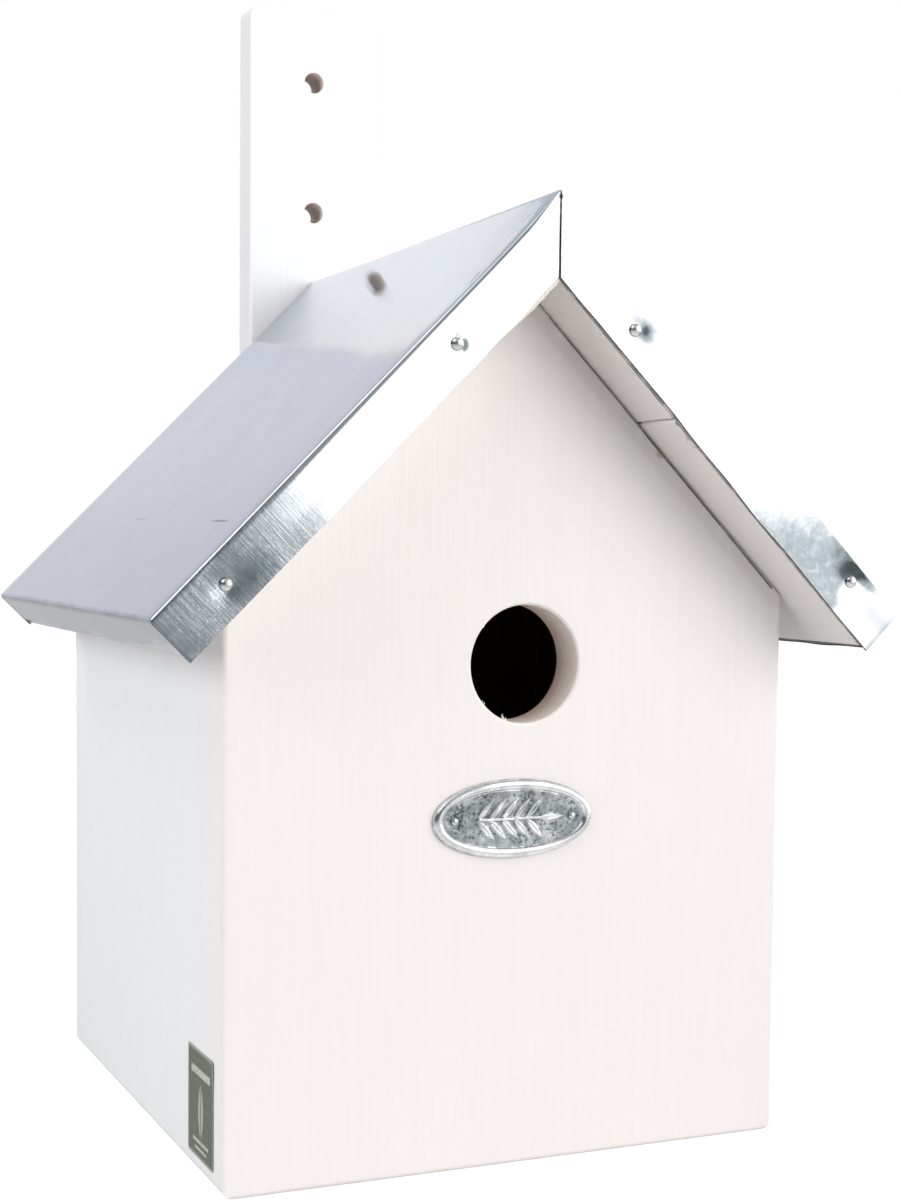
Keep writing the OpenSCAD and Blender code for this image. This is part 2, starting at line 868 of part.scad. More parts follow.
front_wall();
back_wall();
side_wall(LEFT);  // left_side_wall
side_wall(RIGHT);  // right_side_wall
floor_board();
ridge_plank(LEFT);  // left_ridge_plank
eave_plank(LEFT);  // left_eave_plank
ridge_plank(RIGHT);  // right_ridge_plank
eave_plank(RIGHT);  // right_eave_plank
roof_sheet();
hanging_board();
oval_plate();
color(STEEL) plate_pin(LEFT);  // plate_pin_left
color(STEEL) plate_pin(RIGHT);  // plate_pin_right
color(STEEL) front_sheet_nail(LEFT, low_nail_l, nail_in);  // front_nail_left_low
color(STEEL) front_sheet_nail(LEFT, high_nail_left_l, nail_in);  // front_nail_left_high
color(STEEL) front_sheet_nail(RIGHT, high_nail_right_l, nail_in);  // front_nail_right_high
color(STEEL) front_sheet_nail(RIGHT, right_low_nail_l, right_low_nail_in);  // front_nail_right_low
color(STEEL) back_sheet_nail_set();  // back_sheet_nails
color(STEEL) wall_brads(false);  // front_wall_brads
color(STEEL) wall_brads(true);  // back_wall_brads
color(STEEL) floor_brads();  // side_wall_brads
roof_plank_nails();
color(STEEL) board_screws();  // hanging_board_screws
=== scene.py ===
"""Looks for a painted wooden bird nest box under a folded sheet-metal roof.

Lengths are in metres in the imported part's frame: X runs to the right seen from
the front, Y from the front to the back, and Z up from the underside.
"""

from __future__ import annotations

import logging
import math
from collections.abc import Sequence
from dataclasses import dataclass, field
from enum import Enum
from functools import cache

import bpy
import numpy as np
from mathutils import Matrix, Vector


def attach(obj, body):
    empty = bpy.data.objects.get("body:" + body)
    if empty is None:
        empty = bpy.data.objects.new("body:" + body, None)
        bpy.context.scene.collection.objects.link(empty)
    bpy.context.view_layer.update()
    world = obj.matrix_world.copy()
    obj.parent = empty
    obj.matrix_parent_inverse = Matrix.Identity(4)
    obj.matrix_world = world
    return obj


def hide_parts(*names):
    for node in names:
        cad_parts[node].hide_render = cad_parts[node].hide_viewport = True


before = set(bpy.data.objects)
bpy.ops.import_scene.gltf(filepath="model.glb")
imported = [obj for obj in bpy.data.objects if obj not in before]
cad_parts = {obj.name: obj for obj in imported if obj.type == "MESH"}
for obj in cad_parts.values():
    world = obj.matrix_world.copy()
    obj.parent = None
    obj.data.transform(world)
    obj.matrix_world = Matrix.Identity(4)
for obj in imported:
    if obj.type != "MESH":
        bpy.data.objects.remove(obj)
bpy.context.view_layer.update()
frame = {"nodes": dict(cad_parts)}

LOG = logging.getLogger("nest_box")
BODY = "root"
MM = 0.001

FRONT_WALL_Y = -82.0 * MM
ENTRANCE = (1.9 * MM, 136.5 * MM)
PLATE_Z = 95.0 * MM
LEFT_SHIFT = 0.3  # how far the left half lies from the right one on the unrolled sheet
BOARD_HOLE_Z = (325.22 * MM, 281.22 * MM)
WHITE = (1.0, 1.0, 1.0)
ALL_AXES = (1.0, 1.0, 1.0)

Colour = tuple[float, float, float]
Point = tuple[float, float, float]
Socket = bpy.types.NodeSocket
Tree = bpy.types.NodeTree
Piece = bpy.types.Object
Material = bpy.types.Material
Feed = float | Sequence[float] | Socket | None


class Side(Enum):
    """The two sides of the box, as the sign of X."""

    LEFT = -1
    RIGHT = 1


class Grain(Enum):
    """The direction that a board's grain runs in, as the turn that brings it onto Z."""

    UP = (0.0, 0.0, 0.0)
    BACKWARDS = (math.pi / 2, 0.0, 0.0)
    ACROSS = (0.0, math.pi / 2, 0.0)


class Facing(Enum):
    """The way that a fastener's head looks."""

    FRONT = (0.0, -1.0, 0.0)
    BACK = (0.0, 1.0, 0.0)


class Graph:
    """A node tree that is being filled, with short ways to add its nodes."""

    def __init__(self, tree: Tree) -> None:
        """Takes the tree over and empties it.

        Args:
            tree: the shader or geometry tree to fill.
        """
        self.tree = tree
        tree.nodes.clear()

    def node(self, kind: str, **settings: object) -> bpy.types.Node:
        """Adds a node.

        Args:
            kind: the node's type name.
            settings: plain properties of the node.

        Returns:
            The new node.
        """
        made = self.tree.nodes.new(kind)
        for name, value in settings.items():
            setattr(made, name, value)
        return made

    def feed(self, socket: Socket, value: Feed) -> None:
        """Links a socket to another one, or sets its own value.

        Args:
            socket: the input to feed.
            value: an output socket, a number, a triple, or nothing to leave it.
        """
        if value is None:
            return
        if isinstance(value, Socket):
            self.tree.links.new(value, socket)
        elif socket.type == "RGBA" and len(value) == 3:
            socket.default_value = (*value, 1.0)
        else:
            socket.default_value = value

    def math(self, operation: str, a: Feed, b: Feed = None, clamp: bool = False) -> Socket:
        """Adds a Math node.

        Args:
            operation: what the node does.
            a: its first value.
            b: its second value, if it takes one.
            clamp: whether the result is held between 0 and 1.

        Returns:
            The result's socket.
        """
        made = self.node("ShaderNodeMath", operation=operation, use_clamp=clamp)
        self.feed(made.inputs[0], a)
        self.feed(made.inputs[1], b)
        return made.outputs[0]

    def vector(self, operation: str, a: Feed, b: Feed = None) -> Socket:
        """Adds a Vector Math node.

        Args:
            operation: what the node does.
            a: its first vector.
            b: its second vector, if it takes one.

        Returns:
            The new vector, or the value for LENGTH and DOT_PRODUCT.
        """
        made = self.node("ShaderNodeVectorMath", operation=operation)
        self.feed(made.inputs[0], a)
        self.feed(made.inputs[1], b)
        return made.outputs[1 if operation in ("LENGTH", "DOT_PRODUCT") else 0]

    def scaled(self, vector: Feed, by: Feed) -> Socket:
        """Adds a Vector Math node that makes a vector longer or shorter.

        Args:
            vector: the vector.
            by: how many times as long it gets.

        Returns:
            The new vector's socket.
        """
        made = self.node("ShaderNodeVectorMath", operation="SCALE")
        self.feed(made.inputs[0], vector)
        self.feed(made.inputs["Scale"], by)
        return made.outputs[0]

    def times(self, a: Feed, b: Feed) -> Socket:
        """Multiplies two values."""
        return self.math("MULTIPLY", a, b)

    def plus(self, a: Feed, b: Feed, clamp: bool = False) -> Socket:
        """Adds two values."""
        return self.math("ADD", a, b, clamp)

    def minus(self, a: Feed, b: Feed, clamp: bool = False) -> Socket:
        """Takes the second value from the first."""
        return self.math("SUBTRACT", a, b, clamp)

    def here(self) -> Socket:
        """Gives the place on the object, in the object's own coordinates."""
        return self.node("ShaderNodeTexCoord").outputs["Object"]

    def read(self, attribute: str) -> Socket:
        """Gives the value of one of the mesh's attributes."""
        return self.node("ShaderNodeAttribute", attribute_name=attribute).outputs["Fac"]

    def parts(self, vector: Feed) -> tuple[Socket, ...]:
        """Splits a vector into its X, Y and Z.

        Args:
            vector: the vector.

        Returns:
            The sockets of the three values.
        """
        made = self.node("ShaderNodeSeparateXYZ")
        self.feed(made.inputs[0], vector)
        return tuple(made.outputs)

    def join(self, x: Feed, y: Feed, z: Feed) -> Socket:
        """Makes a vector of three values.

        Args:
            x: its first value.
            y: its second value.
            z: its third value.

        Returns:
            The vector's socket.
        """
        made = self.node("ShaderNodeCombineXYZ")
        for socket, value in zip(made.inputs, (x, y, z)):
            self.feed(socket, value)
        return made.outputs[0]

    def mix(self, share: Feed, a: Feed, b: Feed, blend: str = "MIX") -> Socket:
        """Mixes two colours.

        Args:
            share: how much of the second colour shows.
            a: the first colour.
            b: the second colour.
            blend: the way the two are mixed.

        Returns:
            The mixed colour's socket.
        """
        made = self.node("ShaderNodeMix", data_type="RGBA", blend_type=blend, clamp_factor=True)
        self.feed(made.inputs[0], share)
        self.feed(made.inputs[6], a)
        self.feed(made.inputs[7], b)
        return made.outputs[2]

    def span(self, value: Feed, low: Feed, high: Feed, start: float = 0.0, end: float = 1.0) -> Socket:
        """Maps a value smoothly from one span to another, held at both ends.

        Args:
            value: the value.
            low: where it leaves the start.
            high: where it reaches the end.
            start: the result at low and below.
            end: the result at high and above.

        Returns:
            The result's socket.
        """
        made = self.node("ShaderNodeMapRange", interpolation_type="SMOOTHSTEP")
        for socket, given in zip(made.inputs[:5], (value, low, high, start, end)):
            self.feed(socket, given)
        return made.outputs[0]

    def noise(
        self, vector: Feed, scale: Feed, detail: float = 3.0, rough: float = 0.5, warp: float = 0.0
    ) -> Socket:
        """Adds a noise texture.

        Args:
            vector: the place that it is read at.
            scale: how many waves there are in a metre.
            detail: how many finer waves are added.
            rough: how strong the finer waves are.
            warp: how much the pattern is bent.

        Returns:
            The noise's value, round 0.5.
        """
        made = self.node("ShaderNodeTexNoise")
        self.feed(made.inputs["Vector"], vector)
        self.feed(made.inputs["Scale"], scale)
        made.inputs["Detail"].default_value = detail
        made.inputs["Roughness"].default_value = rough
        made.inputs["Distortion"].default_value = warp
        return made.outputs[0]

    def cells(self, vector: Feed, scale: Feed) -> Socket:
        """Adds a Voronoi texture.

        Args:
            vector: the place that it is read at.
            scale: how many cells there are in a metre.

        Returns:
            The distance to the nearest cell's middle.
        """
        made = self.node("ShaderNodeTexVoronoi")
        self.feed(made.inputs["Vector"], vector)
        self.feed(made.inputs["Scale"], scale)
        return made.outputs["Distance"]

    def group(self, tree: Tree, **feeds: Feed) -> bpy.types.Node:
        """Places a node group and feeds its named inputs.

        Args:
            tree: the group.
            feeds: what goes into its inputs, with _ for a space in a name.

        Returns:
            The group's node.
        """
        kind = "ShaderNodeGroup" if tree.type == "SHADER" else "GeometryNodeGroup"
        made = self.node(kind, node_tree=tree)
        for name, value in feeds.items():
            self.feed(made.inputs[name.replace("_", " ")], value)
        return made

    def mask(self, tree: Tree, **feeds: Feed) -> Socket:
        """Places a node group and gives its mask."""
        return self.group(tree, **feeds).outputs["Mask"]


class GroupMaker:
    """Builds the shader groups that several finishes share, each one once."""

    def _start(
        self, name: str, feeds: dict[str, object], puts: Sequence[str]
    ) -> tuple[Graph, bpy.types.Node, bpy.types.Node]:
        """Makes an empty group with its sockets.

        Args:
            name: the group's name.
            feeds: each input's name and default, a vector where the default is a triple.
            puts: the names of its float outputs.

        Returns:
            The graph, the node that gives the inputs and the node that takes the outputs.
        """
        tree = bpy.data.node_groups.new(name, "ShaderNodeTree")
        graph = Graph(tree)
        for socket, value in feeds.items():
            kind = "NodeSocketVector" if isinstance(value, tuple) else "NodeSocketFloat"
            made = tree.interface.new_socket(socket, in_out="INPUT", socket_type=kind)
            made.default_value = value
        for socket in puts:
            tree.interface.new_socket(socket, in_out="OUTPUT", socket_type="NodeSocketFloat")
        return graph, graph.node("NodeGroupInput"), graph.node("NodeGroupOutput")

    @cache
    def wood_grain(self) -> Tree:
        """Streaks along Z: broad year rings and the fine lines of a plane and a brush.

        Returns:
            The group.
        """
        g, given, put = self._start(
            "wood_grain", {"Vector": (0.0, 0.0, 0.0), "Scale": 1.0}, ("Rings", "Lines")
        )
        place = g.scaled(given.outputs["Vector"], given.outputs["Scale"])
        slow = g.vector("MULTIPLY", place, (1.0, 1.0, 0.07))
        fine = g.vector("MULTIPLY", place, (1.0, 1.0, 0.025))
        rings = g.noise(slow, 130.0, 4.0, 0.55, 0.6)
        lines = g.noise(fine, 900.0, 4.0, 0.6)
        g.feed(put.inputs["Rings"], g.span(rings, 0.3, 0.7))
        g.feed(put.inputs["Lines"], g.span(lines, 0.3, 0.7))
        return g.tree

    @cache
    def speckle(self) -> Tree:
        """Small scattered spots, for chips, dust and rust.

        Returns:
            The group.
        """
        g, given, put = self._start(
            "speckle", {"Vector": (0.0, 0.0, 0.0), "Scale": 800.0, "Amount": 0.5}, ("Mask",)
        )
        spots = g.noise(given.outputs["Vector"], given.outputs["Scale"], 2.0, 0.6)
        field_share = g.noise(given.outputs["Vector"], g.times(given.outputs["Scale"], 0.12), 2.0)
        both = g.plus(g.times(spots, 0.65), g.times(field_share, 0.35))
        limit = g.minus(1.0, given.outputs["Amount"])
        g.feed(put.inputs["Mask"], g.span(both, limit, g.plus(limit, 0.05)))
        return g.tree

    @cache
    def round_spot(self) -> Tree:
        """A round spot seen along Y, or a ball where all axes count: 1 inside its radius and 0 outside.

        Returns:
            The group.
        """
        g, given, put = self._start(
            "round_spot",
            {
                "Vector": (0.0, 0.0, 0.0), "Centre": (0.0, 0.0, 0.0), "Axes": (1.0, 0.0, 1.0),
                "Radius": 0.01, "Soft": 0.0005,
            },
            ("Mask",),
        )
        apart = g.vector("SUBTRACT", given.outputs["Vector"], given.outputs["Centre"])
        far = g.vector("LENGTH", g.vector("MULTIPLY", apart, given.outputs["Axes"]))
        outer = g.plus(given.outputs["Radius"], given.outputs["Soft"])
        g.feed(put.inputs["Mask"], g.minus(1.0, g.span(far, given.outputs["Radius"], outer)))
        return g.tree

    @cache
    def seam_line(self) -> Tree:
        """A line between two places seen along Y: 1 within its half width and 0 beyond it.

        Returns:
            The group.
        """
        g, given, put = self._start(
            "seam_line",
            {
                "Vector": (0.0, 0.0, 0.0), "Start": (0.0, 0.0, 0.0), "End": (0.0, 0.0, 1.0), "Half": 0.001,
                "Soft": 0.0005,
            },
            ("Mask",),
        )
        flat = g.vector("MULTIPLY", given.outputs["Vector"], (1.0, 0.0, 1.0))
        off = g.vector("SUBTRACT", flat, given.outputs["Start"])
        run = g.vector("SUBTRACT", given.outputs["End"], given.outputs["Start"])
        share = g.math(
            "DIVIDE", g.vector("DOT_PRODUCT", off, run), g.vector("DOT_PRODUCT", run, run), clamp=True
        )
        far = g.vector("LENGTH", g.vector("SUBTRACT", off, g.scaled(run, share)))
        outer = g.plus(given.outputs["Half"], given.outputs["Soft"])
        g.feed(put.inputs["Mask"], g.minus(1.0, g.span(far, given.outputs["Half"], outer)))
        return g.tree

    @cache
    def in_box(self) -> Tree:
        """1 within a box and 0 outside it, with the box given by its middle and half size.

        Returns:
            The group.
        """
        g, given, put = self._start(
            "in_box",
            {"Vector": (0.0, 0.0, 0.0), "Middle": (0.0, 0.0, 0.0), "Half": (1.0, 1.0, 1.0), "Soft": 0.0005},
            ("Mask", "Edge"),
        )
        apart = g.vector("ABSOLUTE", g.vector("SUBTRACT", given.outputs["Vector"], given.outputs["Middle"]))
        left = g.parts(g.vector("SUBTRACT", given.outputs["Half"], apart))
        least = g.math("MINIMUM", g.math("MINIMUM", left[0], left[1]), left[2])
        g.feed(
            put.inputs["Mask"], g.span(least, g.times(given.outputs["Soft"], -1.0), given.outputs["Soft"])
        )
        low, high = g.math("MINIMUM", left[0], left[1]), g.math("MAXIMUM", left[0], left[1])
        second = g.math("MAXIMUM", low, g.math("MINIMUM", high, left[2]))
        g.feed(put.inputs["Edge"], g.minus(1.0, g.span(second, 0.0, g.times(given.outputs["Soft"], 4.0))))
        return g.tree

    @cache
    def zinc_clouds(self) -> Tree:
        """The soft clouds and fine crystals of a zinc coat.

        Returns:
            The group.
        """
        g, given, put = self._start(
            "zinc_clouds", {"Vector": (0.0, 0.0, 0.0), "Scale": 1.0}, ("Tone", "Crystal")
        )
        place = g.scaled(given.outputs["Vector"], given.outputs["Scale"])
        clouds = g.noise(place, 70.0, 5.0, 0.6, 0.4)
        crystal = g.cells(g.vector("ADD", place, (0.31, 0.17, 0.05)), 420.0)
        g.feed(put.inputs["Tone"], g.span(clouds, 0.3, 0.72))
        g.feed(put.inputs["Crystal"], g.span(crystal, 0.1, 0.8))
        return g.tree


GROUPS = GroupMaker()


def new_material(name: str) -> tuple[Material, Graph, bpy.types.Node]:
    """Starts a material with a Principled shader that is linked to its output.

    Args:
        name: the material's name.

    Returns:
        The material, its graph and its Principled node.
    """
    made = bpy.data.materials.new(name)
    made.use_nodes = True
    graph = Graph(made.node_tree)
    shader = graph.node("ShaderNodeBsdfPrincipled")
    output = graph.node("ShaderNodeOutputMaterial")
    graph.feed(output.inputs["Surface"], shader.outputs[0])
    return made, graph, shader


def bump(graph: Graph, height: Feed, distance: float, strength: float = 1.0) -> Socket:
    """Adds a Bump node.

    Args:
        graph: the graph that gets it.
        height: the height at each place.
        distance: what a height of 1 measures.
        strength: how much of the bump shows.

    Returns:
        The bent normal's socket.
    """
    made = graph.node("ShaderNodeBump")
    made.inputs["Distance"].default_value = distance
    made.inputs["Strength"].default_value = strength
    graph.feed(made.inputs["Height"], height)
    return made.outputs[0]


@dataclass(frozen=True)
class Hole:
    """A round hole along Y whose wall shows bare wood, paler by its mouth and browner inside."""

    x: float
    z: float
    radius: float
    mouth: Colour
    deep: Colour
    front: float
    back: float


@dataclass(frozen=True)
class Stain:
    """A soft mark on the paint: round, with an uneven outline, and broken into specks where asked."""

    place: Point
    radius: float
    colour: Colour
    share: float
    speckled: bool = False


@dataclass(frozen=True)
class Seam:
    """A line on a board: a dark gap, a raw arris, or a band of painted shade."""

    start: tuple[float, float]
    end: tuple[float, float]
    half: float
    colour: Colour
    share: float
    behind: float = 1.0


@dataclass(frozen=True)
class PaintedWood:
    """Matt off-white paint over planed softwood, with bare wood where the paint stops."""

    name: str
    colour: Colour = (0.836, 0.811, 0.802)
    grain: Grain = Grain.UP
    flank: Colour | None = None
    streak: float = 0.028
    wear: float = 0.10
    peel: float = 1.0
    holes: tuple[Hole, ...] = ()
    stains: tuple[Stain, ...] = ()
    seams: tuple[Seam, ...] = ()
    half: Point = (0.083, 0.082, 0.12)
    middle: Point = (0.0, 0.0, 0.12)

    def build(self) -> Material:
        """Makes the paint's material.

        Returns:
            The material.
        """
        made, g, shader = new_material(self.name)
        place = g.here()
        turned = g.node("ShaderNodeMapping")
        g.feed(turned.inputs["Vector"], place)
        turned.inputs["Rotation"].default_value = self.grain.value
        grain = g.group(GROUPS.wood_grain(), Vector=turned.outputs[0])
        rings, lines = grain.outputs["Rings"], grain.outputs["Lines"]
        shade = tuple(c * (1 - self.streak) for c in self.colour)
        warm = (self.colour[0], self.colour[1] * 0.985, self.colour[2] * 0.965)
        base = g.mix(g.times(lines, 0.7), self.colour, shade)
        base = g.mix(g.times(rings, 0.35), base, warm)
        blotch = g.span(g.noise(place, 24.0, 3.0), 0.35, 0.7)
        base = g.mix(g.times(blotch, 0.30), base, tuple(c * 0.972 for c in self.colour))
        edges = g.group(GROUPS.in_box(), Vector=place, Middle=self.middle, Half=self.half, Soft=0.0006)
        nibs = g.mask(GROUPS.speckle(), Vector=place, Scale=520.0, Amount=0.47)
        worn = g.times(edges.outputs["Edge"], nibs)
        base = g.mix(g.times(worn, self.wear), base, (0.62, 0.55, 0.49))
        # painted shade: the narrow sides and back get a darker colour than the face
        if self.flank:
            face = self.middle[1] - self.half[1]
            base = g.mix(g.span(g.parts(place)[1], face + 0.1 * MM, face + 1.3 * MM), base, self.flank)
        shaken = g.vector("ADD", place, self._wobble(g, place))
        for seam in self.seams:
            base = self._seamed(g, seam, place, base)
        for stain in self.stains:
            base = self._stained(g, stain, shaken, base)
        for hole in self.holes:
            base = self._bored(g, hole, place, base)
        # inside faces show bare wood, in a dark brown that also stands in for the shade inside the box
        inside = g.mask(
            GROUPS.in_box(), Vector=place, Middle=(0.0, 0.0, 0.115), Half=(0.0704, 0.0694, 0.1155),
            Soft=0.0002,
        )
        raw = g.mix(rings, (0.34, 0.24, 0.15), (0.24, 0.165, 0.10))
        base = g.mix(inside, base, raw)
        g.feed(shader.inputs["Base Color"], base)
        g.feed(shader.inputs["Roughness"], g.span(lines, 0.0, 1.0, 0.46, 0.62))
        shader.inputs["Specular IOR Level"].default_value = 0.35
        peel = g.noise(place, 1500.0, 2.0, 0.5)
        coarse = g.times(g.span(g.noise(place, 420.0, 2.0), 0.35, 0.75), self._peel_patch(g, place))
        height = g.plus(g.times(lines, 0.45), g.times(peel, 0.35))
        height = g.plus(height, g.times(rings, 0.55))
        height = g.plus(height, g.times(coarse, 0.8))
        g.feed(shader.inputs["Normal"], bump(g, height, 0.00006 * self.peel, 0.8))
        return made

    def _stained(self, g: Graph, stain: Stain, place: Feed, base: Feed) -> Socket:
        """Lays one stain over the paint's colour.

        Args:
            g: the graph.
            stain: the stain.
            place: the place that is read.
            base: the paint's colour so far.

        Returns:
            The colour with the stain on it.
        """
        spot = g.mask(
            GROUPS.round_spot(), Vector=place, Centre=stain.place, Axes=ALL_AXES,
            Radius=stain.radius * 0.35, Soft=stain.radius,
        )
        mask = g.times(spot, stain.share)
        if stain.speckled:
            chips = g.mask(GROUPS.speckle(), Vector=place, Scale=1300.0, Amount=0.52)
            mask = g.times(mask, chips)
        return g.mix(mask, base, stain.colour)

    def _seamed(self, g: Graph, seam: Seam, place: Feed, base: Feed) -> Socket:
        """Lays one seam over the paint's colour, a little uneven along its run.

        Args:
            g: the graph.
            seam: the seam.
            place: the place that is read.
            base: the paint's colour so far.

        Returns:
            The colour with the seam on it.
        """
        line = g.mask(
            GROUPS.seam_line(), Vector=place, Start=(seam.start[0], 0.0, seam.start[1]),
            End=(seam.end[0], 0.0, seam.end[1]), Half=seam.half, Soft=seam.half * 0.6,
        )
        broken = g.span(g.noise(place, 160.0, 3.0), 0.3, 0.55, 0.45, 1.0)
        mask = g.times(g.times(line, broken), seam.share)
        near = g.span(g.parts(place)[1], seam.behind - 0.4 * MM, seam.behind + 0.4 * MM, 1.0, 0.0)
        return g.mix(g.times(mask, near), base, seam.colour)

    def _bored(self, g: Graph, hole: Hole, place: Feed, base: Feed) -> Socket:
        """Shows bare wood on the wall of one hole.

        Args:
            g: the graph.
            hole: the hole.
            place: the place that is read.
            base: the paint's colour so far.

        Returns:
            The colour with the hole's wood on it.
        """
        spot = g.mask(
            GROUPS.round_spot(), Vector=place, Centre=(hole.x, 0.0, hole.z), Radius=hole.radius, Soft=0.0004
        )
        inward = g.span(g.parts(place)[1], hole.front, hole.back)
        bands = g.noise(g.vector("MULTIPLY", place, (1.0, 1.0, 0.10)), 620.0, 4.0, 0.6)
        share = g.plus(inward, g.times(g.minus(bands, 0.5), 0.9), clamp=True)
        return g.mix(spot, base, g.mix(share, hole.mouth, hole.deep))

    def _wobble(self, g: Graph, place: Feed) -> Socket:
        """Gives a small vector that makes the stains' outlines uneven.

        Args:
            g: the graph.
            place: the place that is read.

        Returns:
            How far the place is moved.
        """
        wave = g.node("ShaderNodeTexNoise")
        g.feed(wave.inputs["Vector"], place)
        wave.inputs["Scale"].default_value = 300.0
        off = g.vector("SUBTRACT", wave.outputs["Color"], (0.5, 0.5, 0.5))
        return g.vector("MULTIPLY", off, (0.002, 0.002, 0.002))

    def _peel_patch(self, g: Graph, place: Feed) -> Socket:
        """Gives a mask of the low middle of the front, where the paint is thick and rough.

        Args:
            g: the graph.
            place: the place that is read.

        Returns:
            1 in the middle of the patch, fading to 0.
        """
        return g.mask(
            GROUPS.round_spot(), Vector=place, Centre=(0.020, 0.0, 0.024), Radius=0.010, Soft=0.022
        )


@dataclass(frozen=True)
class BareWood:
    """Unpainted softwood with rings, lines and a little dirt."""

    name: str
    early: Colour = (0.62, 0.46, 0.30)
    late: Colour = (0.40, 0.26, 0.15)
    grain: Grain = Grain.ACROSS

    def build(self) -> Material:
        """Makes the bare wood's material.

        Returns:
            The material.
        """
        made, g, shader = new_material(self.name)
        place = g.here()
        turned = g.node("ShaderNodeMapping")
        g.feed(turned.inputs["Vector"], place)
        turned.inputs["Rotation"].default_value = self.grain.value
        grain = g.group(GROUPS.wood_grain(), Vector=turned.outputs[0])
        base = g.mix(g.times(grain.outputs["Rings"], 0.8), self.early, self.late)
        base = g.mix(g.times(grain.outputs["Lines"], 0.25), base, tuple(c * 0.7 for c in self.early))
        dirt = g.mask(GROUPS.speckle(), Vector=place, Scale=300.0, Amount=0.42)
        base = g.mix(g.times(dirt, 0.3), base, (0.2, 0.14, 0.09))
        g.feed(shader.inputs["Base Color"], base)
        g.feed(shader.inputs["Roughness"], g.span(grain.outputs["Rings"], 0.0, 1.0, 0.62, 0.78))
        height = g.plus(grain.outputs["Rings"], g.times(grain.outputs["Lines"], 0.5))
        g.feed(shader.inputs["Normal"], bump(g, height, 0.00015))
        return made


@dataclass(frozen=True)
class Scratch:
    """A short dark scratch along the ridge's direction, on the unrolled sheet."""

    s: float
    start: float
    end: float
    half: float
    share: float


